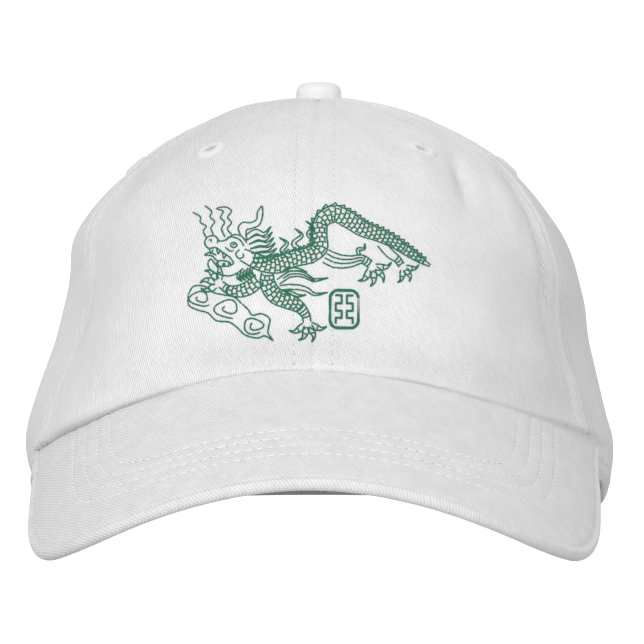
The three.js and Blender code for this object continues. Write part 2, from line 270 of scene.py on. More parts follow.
# Wrinkles of the soft cloth, in the same terms as the valleys. Both faces of the cloth follow them.
wrinkles = np.array([
    (63.5, 5.3, 1.2, 2.9, 1.6, 3.6), (66.5, 3.0, 1, 2.2, 1.1, 1.1), (56, 4.8, 1, 4, 1.7, -0.9),
    (43, 6.9, 5, 3.6, 0.8, 2.7), (53, 6.3, 4, 3.6, 0.9, -0.9), (30, 7.0, 3, 4, 0.8, -0.8),
    (-42, 7.9, 0, 6, 0.6, 0.8), (-58, 6.4, -4, 5, 1.0, 0.6), (-28, 7.1, 2, 5, 0.7, -0.3)], float)


# Millimetres to the nearest seam: degrees from it times the ring's speed there.
def seamDistance(angle, ring):
    nearest = np.full(np.broadcast(angle, ring).shape, 1e3)
    for seam in (-seams["back"], *seamAngles, 360 - seams["rear"]):
        nearest = np.minimum(nearest, np.abs(angle - seam) * crownSpeed(seam, ring))
    return nearest


# A dip at each seam, the raised allowance beside it, the dips that the topstitching pulls, and slow
# waves of slack cloth from a sum of seeded sines.
def sewnRelief(angle, ring):
    away = seamDistance(angle, ring)
    allowance, fade = sewing["allowance"], sewing["fade"]
    relief = sewing["rise"] * (1 - smoothStep(allowance - fade, allowance + fade, away))
    relief = relief - sewing["dip"] * bell(away, 0, sewing["dipWidth"])
    relief = relief - sewing["rowDip"] * bell(away, sewing["row"], sewing["rowWidth"])
    around, up = turnedBack(angle) * waves["degree"], ring * waves["ring"]
    for length, (turn, phase) in zip(waveLengths, waveTurns):
        wave = np.sin(2 * math.pi / length * (around * math.cos(turn) + up * math.sin(turn)) + phase)
        relief = relief + waves["height"] * (length / waves["long"]) * wave
    return relief


# The crown's cloth: the plain crown moved along its normal by the sewing, the wrinkles and a lift.
def crownSurface(angle, ring, lift=0.0):
    lifted = sewnRelief(angle, ring) - bells(wrinkles, turnedBack(angle), ring) + lift
    return crownPoint(angle, ring) + crownNormal(angle, ring) * lifted[..., None]


# Where the crown meets the peak: angle, how far the cloth leans in above the joint, how far it folds
# in at the joint, the height of the fold, the swell above it, how much of the crown's own flare above
# the rim is taken out, and the depth of the groove under the fold.
joint = {"leanHeight": 16.0, "leastFold": 0.3, "flare": 1.0, "flareHeights": (3, 11), "swellRise": 0.8,
         "swellWidth": 1.9, "grooveHeights": (-0.2, 0.85), "rows": np.array([
    (-180, 0.0, 0.0, 1.0, 0.0, 0, 0), (-79, 0.0, 0.0, 1.6, 0.1, 0, 0), (-76, 0.0, 0.4, 1.6, 0.7, 0, 1.5),
    (-71, 0.0, 1.0, 1.8, 0.9, 0, 3.6), (-60, 0.1, 2.1, 2.6, 0.7, 0, 3.0), (-45, 1.0, 1.7, 2.6, 0.4, 0.2, 1.9),
    (-32, 1.9, 1.1, 2.2, 0.2, 0.5, 0.3), (-15, 4.0, 0.5, 0.6, 0.0, 1, 0), (0, 3.8, 0.3, 0.4, 0.0, 1, 0),
    (15, 2.1, 0.3, 0.4, 0.0, 1, 0), (30, 2.6, 0.4, 0.5, 0.0, 1, 0), (45, 3.5, 0.6, 0.7, 0.0, 0.8, 0),
    (57, 3.5, 1.3, 0.9, 0.1, 0.4, 0), (69, 2.4, 1.5, 1.1, 0.2, 0, 0.2), (75, 1.4, 1.3, 1.1, 0.2, 0, 0.4),
    (79, 0.4, 0.8, 1.0, 0.1, 0, 0.3), (82, 0.0, 0.0, 1.0, 0.0, 0, 0), (180, 0.0, 0.0, 1.0, 0.0, 0, 0)], float)}


# How far the cloth's lower edge moves: it leans inwards and then folds in on a quarter of an oval
# that ends on the peak's top face. Below that end it stays inside the peak.
def rolledEdge(angle, height):
    rows = joint["rows"]
    settings = np.maximum(smoothThrough(rows[:, 0], rows[:, 1:], turnedBack(angle)), 0)
    lean, fold, foldHeight, swell, straight, groove = np.moveaxis(settings, -1, 0)
    foldHeight = np.maximum(foldHeight, joint["leastFold"])
    x, y = rimPlan(angle)
    reach = 1 - (lean + fold) / np.hypot(x, y)
    meeting = peakUnder(x * reach, y * reach, peak["thickness"] / 2)[0] - rimHeight(angle)
    turn = np.clip((meeting + foldHeight - height) / foldHeight, 0, 1)
    leaning = lean * (1 - smoothStep(0, joint["leanHeight"], height - meeting - foldHeight))
    full, none = joint["flareHeights"]
    flare = joint["flare"] * np.clip(height / full, 0, 1) * (1 - smoothStep(full, none, height))
    leaning = leaning + straight * flare
    swell = swell * bell(height, meeting + foldHeight + joint["swellRise"], joint["swellWidth"])
    under = groove * (1 - smoothStep(*joint["grooveHeights"], height - meeting))
    return swell - leaning - fold * (1 - np.sqrt(1 - turn ** 2)) - under


# The crown with its lower edge folded in: the fold moves the cloth level, whatever its slant.
def foldedCrown(angle, ring, lift=0.0):
    angle, ring = np.broadcast_arrays(np.asarray(angle, float), np.asarray(ring, float))
    roll = rolledEdge(angle, crownPoint(angle, ring)[..., 2] - rimHeight(angle))
    level = unit(crownNormal(angle, ring) * np.array([1.0, 1.0, 0.0]))
    return crownSurface(angle, ring, lift) + level * roll[..., None]


# Meshes

# Millimetres round the rim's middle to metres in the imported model's frame.
def toFrame(points):
    return np.asarray(points, float).reshape(-1, 3) / 1000 + frameShift


# A mesh of quads from whole arrays, smooth but for edges sharper than sharp degrees.
def addPiece(name, points, quads, material, uv, sharp=50):
    mesh = bpy.data.meshes.new(name)
    quads = np.asarray(quads, np.int32)
    mesh.vertices.add(len(points))
    mesh.vertices.foreach_set("co", np.asarray(points, np.float32).ravel())
    mesh.loops.add(quads.size)
    mesh.loops.foreach_set("vertex_index", quads.ravel())
    mesh.polygons.add(len(quads))
    mesh.polygons.foreach_set("loop_start", np.arange(len(quads), dtype=np.int32) * 4)
    mesh.update(calc_edges=True)
    mesh.polygons.foreach_set("use_smooth", np.ones(len(quads), bool))
    layer = mesh.uv_layers.new(name="clothMap")
    layer.data.foreach_set("uv", np.asarray(uv, np.float32)[quads.ravel()].ravel())
    mesh.validate()
    mesh.set_sharp_from_angle(angle=math.radians(sharp))
    mesh.materials.append(material)
    piece = bpy.data.objects.new(name, mesh)
    bpy.context.scene.collection.objects.link(piece)
    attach(piece, "root")
    return piece


# Faces of a grid of rows and columns, wound so that rows x columns is the outward turn.
def gridQuads(rows, columns, closedColumns=False):
    i, j = np.meshgrid(np.arange(rows - 1), np.arange(columns if closedColumns else columns - 1), indexing="ij")
    right = (j + 1) % columns
    quads = np.stack([i * columns + j, (i + 1) * columns + j, (i + 1) * columns + right, i * columns + right], -1)
    return quads.reshape(-1, 4)


# A sheet folded over its hem: the rows run down the outer face, round the hem and up the inner
# face. The two side walls and the last wall join each row to the one behind it.
def foldedSheet(rows):
    count, columns = rows.shape[:2]
    quads = [gridQuads(count, columns)]
    k = np.arange(count // 2 - 1)
    back = count - 1 - k
    for column, flip in ((0, False), (columns - 1, True)):
        wall = np.stack([k, back, back - 1, k + 1], -1) * columns + column
        quads.append(wall[:, ::-1] if flip else wall)
    j = np.arange(columns - 1)
    last = (count - 1) * columns
    quads.append(np.stack([j, j + 1, last + j + 1, last + j], -1))
    return np.vstack(quads)


# Rows of a folded cloth edge: a half circle from the outer face to the inner, bulging along down.
hemSteps = 4


def hemRows(outer, inner, down):
    middle, half = (outer + inner) / 2, (outer - inner) / 2
    size = np.linalg.norm(half, axis=-1, keepdims=True)
    turns = np.linspace(0, math.pi, hemSteps + 2)[1:-1]
    return [middle + half * math.cos(turn) + down * size * math.sin(turn) for turn in turns]


# Shader building

# A socket whose arithmetic adds Math nodes.
class Value:
    def __init__(self, shader, socket):
        self.shader = shader
        self.socket = socket

    # Another output of the same node.
    def other(self, index):
        return Value(self.shader, self.socket.node.outputs[index])

    def math(self, operation, *values):
        return self.shader.node("ShaderNodeMath", {"operation": operation}, dict(enumerate(values)))

    def __add__(self, other):
        return self.math("ADD", self, other)

    __radd__ = __add__

    def __sub__(self, other):
        return self.math("SUBTRACT", self, other)

    def __rsub__(self, other):
        return self.math("SUBTRACT", other, self)

    def __mul__(self, other):
        return self.math("MULTIPLY", self, other)

    __rmul__ = __mul__

    def sine(self):
        return self.math("SINE", self)

    # From 0 at low to 1 at high, level at both ends.
    def between(self, low, high):
        return self.shader.node("ShaderNodeMapRange", {"interpolation_type": "SMOOTHSTEP"},
                                {0: self, 1: low, 2: high, 3: 0.0, 4: 1.0})


# A node tree and the node that its surface is fed by.
class Shader:
    def __init__(self, tree, surface):
        self.tree = tree
        self.surface = tree.nodes[surface]

    # A node of a kind, with its settings first and then the values or links of its sockets.
    def node(self, kind, settings, inputs, output=0):
        made = self.tree.nodes.new(kind)
        for key, value in settings.items():
            setattr(made, key, value)
        for key, value in inputs.items():
            if isinstance(value, Value):
                self.tree.links.new(value.socket, made.inputs[key])
            else:
                made.inputs[key].default_value = value
        return Value(self, made.outputs[output])

    def feed(self, name, value):
        self.tree.links.new(value.socket, self.surface.inputs[name])

    def mixColours(self, factor, first, second):
        return self.node("ShaderNodeMix", {"data_type": "RGBA"}, {0: factor, 6: first, 7: second}, 2)

    # The cloth's map as a vector, along it and across it.
    def clothPlace(self):
        place = self.node("ShaderNodeUVMap", {"uv_map": "clothMap"}, {})
        along = self.node("ShaderNodeSeparateXYZ", {}, {0: place})
        return place, along, along.other(1)

    def bump(self, height, distance):
        inputs = {"Strength": 1.0, "Distance": distance, "Height": height}
        self.feed("Normal", self.node("ShaderNodeBump", {}, inputs))


# A material with plain values on its surface, and the shader that feeds the rest.
def newFinish(name, constants):
    material = bpy.data.materials.new(name)
    material.use_nodes = True
    shader = Shader(material.node_tree, "Principled BSDF")
    for key, value in constants.items():
        shader.surface.inputs[key].default_value = value
    return material, shader


# Millimetres of cloth across the whole map.
mapSize = 400.0


# An opaque grey.
def grey(level):
    return level, level, level, 1


# Cotton twill. Ribs are a sine across the grain, bent by slow noise and cut by the yarns that cross
# them; streaks are noise drawn out along the grain, as thick and thin yarns are; mottle is slow.
def twill(name, settings):
    material, shader = newFinish(name, {"Roughness": 0.93, "Sheen Weight": 0.18, "Sheen Roughness": 0.6,
                                        "Specular IOR Level": 0.15})
    place, along, across = shader.clothPlace()
    drawnOut = shader.node("ShaderNodeCombineXYZ", {}, {0: along * settings["streakLength"], 1: across})
    streaks = shader.node("ShaderNodeTexNoise", {}, {"Vector": drawnOut, "Scale": settings["streakScale"],
                                                     "Detail": 2.0, "Roughness": 0.6})
    mottle = shader.node("ShaderNodeTexNoise", {}, {"Vector": place, "Scale": settings["mottleScale"], "Detail": 4.0})
    bend = (mottle - 0.5) * settings["bend"] + (streaks - 0.5) * settings["wobble"]
    rib = (across * (2 * math.pi * mapSize / settings["ribPitch"]) + bend).sine() * 0.5 + 0.5
    cross = (along * (2 * math.pi * mapSize / settings["yarnPitch"])
             + across * (math.pi * mapSize / settings["ribPitch"])).sine() * 0.5 + 0.5
    height = rib * (cross * 0.3 + 0.7) + streaks * 0.5
    # Painted light and shade: the colour is lighter on the ribs' crests where the crossing yarns ride and darker in
    # their valleys; the streaks and mottle are the yarn's own tone.
    yarnToneAndShade = (rib * settings["ribShade"] + streaks.between(0.25, 0.75) * settings["streak"]
             + mottle.between(0.3, 0.7) * settings["mottle"] + cross * rib * settings["crossShade"])
    shader.feed("Base Color", shader.mixColours(yarnToneAndShade.between(0.0, 1.0), settings["dark"], settings["light"]))
    shader.bump(height, settings["relief"])
    return material


# Pitches are in mm, and relief in metres. ribShade and crossShade are how strong the painted shade of the ribs and
# crossing yarns is.
twillSettings = {"light": grey(0.9), "dark": grey(0.66), "ribPitch": 0.68, "yarnPitch": 0.55,
                 "streakScale": 380.0, "streakLength": 0.3, "mottleScale": 26.0, "bend": 1.2, "wobble": 1.0,
                 "ribShade": 0.5, "streak": 0.2, "mottle": 0.12, "crossShade": 0.18, "relief": 0.00014}
crownTwill = twill("crownTwill", twillSettings)
# The peak's twill has a coarser rib and is a darker grey than the crown's, as painted shade on the peak.
peakShadedTwill = twill("peakShadedTwill", {**twillSettings, "light": grey(0.79), "dark": grey(0.61),
                                "ribPitch": 0.84, "wobble": 2.0, "mottle": 0.2, "mottleScale": 60.0,
                                "relief": 0.00010})
buttonTwill = twill("buttonTwill", {**twillSettings, "light": grey(0.88), "dark": grey(0.74),
                                    "ribPitch": 0.6, "relief": 0.00007})


# Sewing thread: two plies that wind round it, as a slanted wave in length and turn; painted shade darkens the groove
# between them. pitch is in mm.
def spunThread(name, colour, dark, sheen, pitch):
    material, shader = newFinish(name, {"Roughness": 0.55, "Sheen Weight": sheen, "Specular IOR Level": 0.35})
    along, around = shader.clothPlace()[1:]
    ply = (along * (2 * math.pi * mapSize / pitch) + around * (4 * math.pi)).sine() * 0.5 + 0.5
    shader.feed("Base Color", shader.mixColours(ply.between(0.1, 0.8), dark, colour))
    shader.bump(ply, 0.00005)
    return material


whiteThread = spunThread("whiteThread", grey(0.93), grey(0.76), 0.15, 0.8)
eyeletThread = newFinish("eyeletThread", {"Base Color": grey(0.72), "Roughness": 0.6, "Sheen Weight": 0.1,
                                          "Specular IOR Level": 0.3})[0]
seamThread = spunThread("seamThread", grey(0.84), grey(0.7), 0.1, 0.8)
# needleShade is dark grey: painted shade for the needle holes between the stitches.
needleShade = newFinish("needleShade", {"Base Color": grey(0.2), "Roughness": 1.0, "Specular IOR Level": 0.0})[0]
greenThread = spunThread("greenThread", (0.012, 0.2, 0.112, 1), (0.005, 0.11, 0.06, 1), 0.12, 0.7)

# Camera, floor and light

# The camera looks along a line of this elevation and azimuth at the target, in mm.
view = {"elevation": 3.0, "azimuth": 0.75, "distance": 1.5, "target": (1.2, 0.0, 58.7), "pixelsPerMm": 3.45,
        "pixels": 644, "sensor": 36}
elevation, azimuth = math.radians(view["elevation"]), math.radians(view["azimuth"])
towardsCamera = Vector((math.sin(azimuth) * math.cos(elevation), -math.cos(azimuth) * math.cos(elevation),
                        math.sin(elevation)))
camera = bpy.data.objects.new("camera", bpy.data.cameras.new("camera"))
bpy.context.scene.collection.objects.link(camera)
camera.data.sensor_width = view["sensor"]
camera.data.lens = view["sensor"] * view["pixelsPerMm"] * 1000 * view["distance"] / view["pixels"]
camera.location = Vector(toFrame(view["target"])[0]) + towardsCamera * view["distance"]
camera.rotation_mode = "QUATERNION"
camera.rotation_quaternion = (-towardsCamera).to_track_quat("-Z", "Y")
bpy.context.scene.camera = camera
bpy.context.scene.view_settings.view_transform = "Standard"

# Lamps are size in metres, watts and place in metres. Paper and backdrop brighten where they are seen.
studio = {"room": 0.64, "backdrop": 1.05, "paper": 0.45, "paperGlow": 0.2, "paperSeen": 1.0,
          "floorRings": (0.001, 0.4, 2.0, 9.0), "floorSides": 64, "floorHeight": -0.0002, "aim": (0, 0, 0.06),
          "lamps": {"keyLight": (0.8, 18.5, (-0.72, -1.7, 1.1)), "fillLight": (1.4, 11.0, (0.75, -2.1, 0.5)),
                    "backLight": (1.2, 4.5, (0.5, 1.8, 0.9))}}


# The floor is rings of points round the middle, with a small face over the innermost one.
def addFloor():
    sides = studio["floorSides"]
    turns = np.linspace(0, 2 * math.pi, sides + 1)[:-1]
    rings = np.array(studio["floorRings"])[:, None]
    points = np.stack([rings * np.cos(turns), rings * np.sin(turns),
                       np.full((len(rings), sides), studio["floorHeight"])], -1).reshape(-1, 3)
    paper, paperShader = newFinish("floorPaper", {"Base Color": grey(studio["paper"]), "Roughness": 0.9,
                                                  "Specular IOR Level": 0.1, "Emission Strength": 1.0})
    looked = paperShader.node("ShaderNodeLightPath", {}, {})
    glow, bright = grey(studio["paperGlow"]), grey(studio["paperSeen"])
    paperShader.feed("Emission Color", paperShader.mixColours(looked, glow, bright))
    mesh = bpy.data.meshes.new("floor")
    quads = gridQuads(len(rings), sides, closedColumns=True).tolist()
    mesh.from_pydata(points.tolist(), [], quads + [list(range(sides))[::-1]])
    mesh.materials.append(paper)
    mesh.update()
    floor = bpy.data.objects.new("floor", mesh)
    bpy.context.scene.collection.objects.link(floor)


# A round lamp turned towards the aim.
def addLight(name, size, energy, place):
    lamp = bpy.data.lights.new(name, "AREA")
    lamp.shape, lamp.size, lamp.energy = "DISK", size, energy
    light = bpy.data.objects.new(name, lamp)
    light.location = place
    light.rotation_mode = "QUATERNION"
    light.rotation_quaternion = (Vector(studio["aim"]) - Vector(place)).to_track_quat("-Z", "Y")
    bpy.context.scene.collection.objects.link(light)


# The room lights the cap softly, and is plain white where it is seen itself.
room = bpy.data.worlds.new("studio")
room.use_nodes = True
roomShader = Shader(room.node_tree, "Background")
seen = roomShader.node("ShaderNodeLightPath", {}, {})
roomShader.surface.inputs["Color"].default_value = (1, 1, 1, 1)
roomShader.feed("Strength", seen * (studio["backdrop"] - studio["room"]) + studio["room"])
bpy.context.scene.world = room
addFloor()
for name, lamp in studio["lamps"].items():
    addLight(name, *lamp)
print("stage: camera, floor and light are set")

# A folded sheet without the cells of the mask, whose cut edges are joined through the cloth. Each
# wall keeps the direction that the edge had in the cell that is gone.
def holedSheet(rows, gone):
    count, columns = rows.shape[:2]
    quads = foldedSheet(rows)
    i, j = np.nonzero(gone)
    dropped = np.concatenate([i * (columns - 1) + j, (count - 2 - i) * (columns - 1) + j])
    quads = np.delete(quads, dropped, axis=0)
    wide = np.pad(gone, 1)
    walls = []
    for stepI, stepJ, first, second in ((0, -1, (0, 0), (1, 0)), (1, 0, (1, 0), (1, 1)),
                                        (0, 1, (1, 1), (0, 1)), (-1, 0, (0, 1), (0, 0))):
        rim = ~wide[i + 1 + stepI, j + 1 + stepJ]
        startI, startJ = i[rim] + first[0], j[rim] + first[1]
        endI, endJ = i[rim] + second[0], j[rim] + second[1]
        walls.append(np.stack([startI * columns + startJ, endI * columns + endJ,
                               (count - 1 - endI) * columns + endJ, (count - 1 - startI) * columns + startJ], -1))
    return np.vstack([quads] + walls)


# Stitched eyelets: their ring, the radius cut from the cloth, and the section's radius and height from
# the cloth's outer face, round the cut edge and about its middle.
eyelet = {"ring": 7.7, "cut": 3.0, "stitches": 54, "perStitch": 6, "columns": 32, "ridge": 0.11,
          "middle": (3.2, -0.75), "map": 0.4,
          "section": np.array([(1.65, -0.8), (1.7, 0.1), (2.0, 0.62), (2.5, 0.86), (3.1, 0.8), (3.65, 0.52),
                               (4.1, 0.15), (4.3, -0.2), (4.35, -1.4), (4.25, -1.85), (3.8, -2.15),
                               (3.1, -2.4), (2.3, -2.25), (1.7, -1.8)])}

# Crown panels. grain is the direction of the twill's ribs on the panel, in degrees from level.
panels = [
    {"name": "panelFrontLeft", "node": "panel_front_left", "from": -69, "to": 0, "columns": 132, "grain": 104,
     "eyelet": -34.5},
    {"name": "panelFrontRight", "node": "panel_front_right", "from": 0, "to": 69, "columns": 132, "grain": 120,
     "eyelet": 34.5},
    {"name": "panelSideLeft", "node": "panel_side_left", "from": -120, "to": -69, "columns": 96, "grain": 135,
     "eyelet": -94.5},
    {"name": "panelSideRight", "node": "panel_side_right", "from": 69, "to": 120, "columns": 96, "grain": 135,
     "eyelet": 94.5},
    {"name": "panelBackLeft", "node": "panel_back_left", "from": -180, "to": -120, "columns": 120, "grain": 135,
     "eyelet": -150},
    {"name": "panelBackRight", "node": "panel_back_right", "from": 120, "to": 180, "columns": 120, "grain": 135,
     "eyelet": 150},
]
panelMesh = {"rows": 190, "endCrowding": 0.55, "lowCrowding": 1.35, "hemMap": 1.2}

# Columns of a panel, crowded towards its seams, and the ring where each column's cloth starts.
# The back panels' columns follow the arch, a half oval of even steps.
def panelColumns(panel):
    t = np.linspace(0, 1, panel["columns"])
    t = t - panelMesh["endCrowding"] * np.sin(2 * math.pi * t) / (2 * math.pi)
    if abs(panel["from"]) < 180 and abs(panel["to"]) < 180:
        angles = panel["from"] + (panel["to"] - panel["from"]) * t
        return angles, ringAtHeight(angles, cloth / 2)
    side = 1 if panel["to"] == 180 else -1
    turns = np.linspace(0, math.pi / 2, panel["columns"] // 2)
    rise = cloth / 2
    archX = side * (arch["halfWidth"] + rise) * np.cos(turns)
    archZ = rise + arch["height"] * np.sin(turns)
    archAngles, archRings = crownAt(archX, archZ, behind=True)
    archAngles[-1] = side * 180
    sideAngles = np.linspace(side * seams["rear"], archAngles[0], panel["columns"] // 2 + 1)[:-1]
    angles = np.concatenate([sideAngles, archAngles])
    starts = np.concatenate([ringAtHeight(sideAngles, rise), archRings])
    return (angles, starts) if side > 0 else (angles[::-1], starts[::-1])


# A panel: rows of the outer face from the top down, round the hem and up the inner face. The map runs
# along the rings by Simpson's rule, from the line that the panel's grain was cut to, and up the middle.
def addPanel(panel):
    angles, starts = panelColumns(panel)
    middle = (panel["from"] + panel["to"]) / 2
    rings = np.linspace(0, topRing, samples["walk"])
    walk = runAlong(crownPoint(middle, rings))
    startWalk = np.interp(starts, rings, walk)
    share = np.linspace(1, 0, panelMesh["rows"])[:, None] ** panelMesh["lowCrowding"]
    ring = np.interp(startWalk + (walk[-1] - startWalk) * share, walk, rings)
    angle = angles * (1 - share) + np.linspace(angles[0], angles[-1], len(angles)) * share
    outer = foldedCrown(angle, ring)
    tape = sewing["tape"] * (1 - smoothStep(*sewing["tapeEdge"], seamDistance(angle, ring)))
    inner = foldedCrown(angle, ring, -cloth - tape - sewnRelief(angle, ring))
    down = unit(outer[-1] - outer[-2])
    rows = np.concatenate([outer, hemRows(outer[-1], inner[-1], down), inner[::-1]])
    straight = 0.0 if abs(middle) < seams["temple"] else middle
    around = (angle - straight) / 6 * (crownSpeed(straight, ring) + 4 * crownSpeed((angle + straight) / 2, ring)
                                       + crownSpeed(angle, ring))
    up = np.interp(ring, rings, walk)
    grain = math.radians(panel["grain"])
    uv = np.stack([around * math.cos(grain) + up * math.sin(grain),
                   up * math.cos(grain) - around * math.sin(grain)], -1) / mapSize + 0.5
    hem = np.linspace(uv[-1], uv[-1] - np.array([0, panelMesh["hemMap"]]) / mapSize, hemSteps + 2)[1:-1]
    uv = np.concatenate([uv, hem, uv[::-1]]).reshape(-1, 2)
    hole = crownPoint(np.array(panel["eyelet"]), np.array(eyelet["ring"]))
    middles = (outer[1:, 1:] + outer[:-1, :-1]) / 2
    quads = holedSheet(rows, np.linalg.norm(middles - hole, axis=-1) < eyelet["cut"])
    piece = addPiece(panel["name"], toFrame(rows), quads, crownTwill, uv)
    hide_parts(panel["node"])


for panel in panels:
    addPanel(panel)
print("stage: crown panels are made")

# Peak. rows are the distances of its stitch rows from the outer edge, and legs those of their ends
# from the middle. ridge and groove are the distance and width of the relief along the edge. The edge's
# rows start at firstTurn and reach in by edgeReach, but by no more than the share edgeMost.
# hole is the half width of the dark spindles that paint the shade of the peak's needle holes.
peakSewing = {"rows": (17.3, 22.4, 27.3, 32.1), "legs": (77.7, 72.2, 67.6, 62.8), "squareness": 12, "pitch": 3.0,
              "length": 2.45, "hole": 0.15, "rowDip": 0.27, "rowWidth": 0.75, "puff": 0.09, "edgeRelief": 0.32,
              "ridge": (1.6, 0.7), "groove": (3.4, 0.8), "edgeReach": 1.5, "edgeMost": 0.3, "edgeRows": 10,
              "firstTurn": 0.08, "tuck": 6.2, "endAngle": 74, "grain": 121, "columns": 380, "rowsInside": 98,
              "rowSlack": 0.35, "puffSpans": (7.3, 5.1), "puffPhases": (1.1, 0.4)}


# A share between -1 and 1 of the way along the outer edge, from its middle, as a point of the flat
# pattern.
def outlineAt(share):
    fine = smoothThrough(np.linspace(0, 1, len(peakOutline)), peakOutline,
                         np.linspace(0, 1, samples["outline"]))
    length = runAlong(fine)
    place = np.stack([np.interp(np.abs(share) * length[-1], length, fine[:, k]) for k in (0, 1)], -1)
    place[..., 0] *= np.sign(share)
    return place


# Millimetres to the nearest of many points on the outer edge.
def outlineDistance(pattern):
    edge = outlineAt(np.linspace(-1, 1, samples["edge"]))
    flat = pattern.reshape(-1, 2)
    away = np.sqrt(((flat[:, None, :] - edge[None]) ** 2).sum(-1)).min(1)
    return away.reshape(pattern.shape[:-1])


# The line where the peak ends under the crown, a tuck inside the rim, as points of the flat pattern.
def jointPattern(angle, tuck):
    x, y = rimPlan(angle)
    aheadX, aheadY = rimPlan(angle + 0.5)
    behindX, behindY = rimPlan(angle - 0.5)
    inward = unit(np.stack([behindY - aheadY, aheadX - behindX], -1)) * tuck
    x, y = x + inward[..., 0], y + inward[..., 1]
    return np.stack([peak["bend"] * np.arcsin(x / peak["bend"]), peakUnder(x, y, 0.0)[1]], -1)


# Each stitch row is the outline moved inwards, and its legs keep to a set distance from the middle:
# across shrinks to the leg's distance as a smooth minimum of the two.
def stitchRow(distance, leg):
    edge = outlineAt(np.linspace(-1, 1, samples["stitchRow"]))
    way = unit(np.gradient(edge, axis=0))
    line = edge + np.stack([way[:, 1], -way[:, 0]], -1) * distance
    line = line[np.abs(outlineDistance(line) - distance) < peakSewing["rowSlack"]]
    n = peakSewing["squareness"]
    line[:, 0] *= (1 + (np.abs(line[:, 0]) / leg) ** n) ** (-1 / n)
    return line


peakRows = [stitchRow(distance, leg) for distance, leg in zip(peakSewing["rows"], peakSewing["legs"])]


# Millimetres to the nearest of every third point of a line.
def lineDistance(pattern, line):
    flat = pattern.reshape(-1, 2)
    away = np.full(len(flat), 1e3)
    for part in np.array_split(line[::3], 8):
        away = np.minimum(away, np.sqrt(((flat[:, None] - part[None]) ** 2).sum(-1)).min(1))
    return away.reshape(pattern.shape[:-1])


# The dips along the stitch rows, and a slight unevenness from a product of sines.
def peakRelief(pattern):
    relief = np.zeros(pattern.shape[:-1])
    for line in peakRows:
        relief -= peakSewing["rowDip"] * bell(lineDistance(pattern, line), 0, peakSewing["rowWidth"])
    wave = np.sin(pattern / peakSewing["puffSpans"] + peakSewing["puffPhases"])
    return relief + peakSewing["puff"] * wave[..., 0] * wave[..., 1]


# The peak's section across its outer edge is half an oval of the peak's thickness. Its map is the flat
# pattern, turned by the grain and wrapped over the edge.
def addPeak():
    share = np.linspace(-1, 1, peakSewing["columns"])
    outer = outlineAt(share)
    inner = jointPattern(share * peakSewing["endAngle"], peakSewing["tuck"])
    length = np.linalg.norm(outer - inner, axis=-1, keepdims=True)
    half = peak["thickness"] / 2
    turns = np.linspace(peakSewing["firstTurn"], math.pi / 2, peakSewing["edgeRows"])[:, None]
    reach = peakSewing["edgeReach"]
    inEdge = np.minimum(reach * (1 - np.cos(turns)) / length.T, peakSewing["edgeMost"])
    inside = np.linspace(0, 1, peakSewing["rowsInside"] + 1)[1:, None] * (1 - inEdge[-1]) + inEdge[-1]
    part = np.concatenate([inEdge, inside])
    fullness = np.concatenate([np.sin(turns), np.ones((peakSewing["rowsInside"], 1))]) * np.ones_like(part)
    pattern = outer[None] + (inner - outer)[None] * part[..., None]
    away = outlineDistance(pattern)
    ridge = peakSewing["edgeRelief"] * (bell(away, *peakSewing["ridge"]) - bell(away, *peakSewing["groove"]))
    sewn = peakRelief(pattern)
    top = peakPoint(pattern[..., 0], pattern[..., 1], (half + sewn + ridge) * fullness)
    under = peakPoint(pattern[..., 0], pattern[..., 1], (-half - sewn + ridge) * fullness)
    wrapped = unit(outer - inner)[None] * (half * (math.pi / 2 - turns) - reach * np.cos(turns))[..., None]
    pattern[:len(turns)] += wrapped
    rows = np.concatenate([top[::-1], under])
    grain = math.radians(peakSewing["grain"])
    along = pattern[..., 0] * math.cos(grain) - pattern[..., 1] * math.sin(grain)
    across = -pattern[..., 0] * math.sin(grain) - pattern[..., 1] * math.cos(grain)
    uv = np.stack([along, across], -1) / mapSize + 0.5
    uv = np.concatenate([uv[::-1], uv]).reshape(-1, 2)
    piece = addPiece("peak", toFrame(rows), foldedSheet(rows), peakShadedTwill, uv)
    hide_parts("visor")


addPeak()
print("stage: peak is made")

# Threads: rings of sides round each centre line, flattened to the cloth, with closed ends. centres
# and normals are (threads, places, 3). The map runs along the thread and once round it.
def tubes(centres, normals, across, upwards, sides):
    along = unit(np.gradient(centres, axis=1))
    side = unit(np.cross(along, normals))
    up = np.cross(side, along)
    turns = np.linspace(0, 2 * math.pi, sides + 1)[:-1]
    across, upwards = (np.broadcast_to(size, centres.shape[:2])[..., None, None] for size in (across, upwards))
    points = (centres[:, :, None] + side[:, :, None] * across * np.cos(turns)[:, None]
              + up[:, :, None] * upwards * np.sin(turns)[:, None])
    count, places = centres.shape[:2]
    k = np.arange(sides // 2 - 1)
    cap = np.stack([k, k + 1, sides - 2 - k, sides - 1 - k], -1)
    one = np.vstack([gridQuads(places, sides, closedColumns=True), cap, cap[:, ::-1] + (places - 1) * sides])
    quads = (one[None] + (np.arange(count) * places * sides)[:, None, None]).reshape(-1, 4)
    run = runAlong(centres)[:, :, None] / mapSize
    uv = np.stack(np.broadcast_arrays(run, np.arange(sides) / sides), -1)
    return points.reshape(-1, 3), quads, uv.reshape(-1, 2)


# Lock stitches. places and sizes are shares of a stitch's length and thickness, and those of the hole's painted shade
# are shares of the gap between two stitches. Where hole is said, it is the half width of the dark spindle that paints
# the shade in a needle's hole.
stitch = {"pitch": 2.75, "length": 2.1, "across": 0.23, "upwards": 0.18, "lift": 0.08, "sink": 0.24, "sides": 6,
          "places": np.array([0, 0.1, 0.32, 0.68, 0.9, 1]), "sizes": np.array([0.25, 0.8, 1, 1, 0.8, 0.25]),
          "bow": 0.6, "holeShadeLift": 0.22, "holeShadePlaces": np.array([0.12, 0.5, 0.88]),
          "holeShadeSizes": np.array([0.4, 1.0, 0.4]), "sharp": 80}


def addThreads(name, centres, normals, across, upwards, material):
    points, quads, uv = tubes(centres, normals, across, upwards, stitch["sides"])
    addPiece(name, toFrame(points), quads, material, uv, stitch["sharp"])


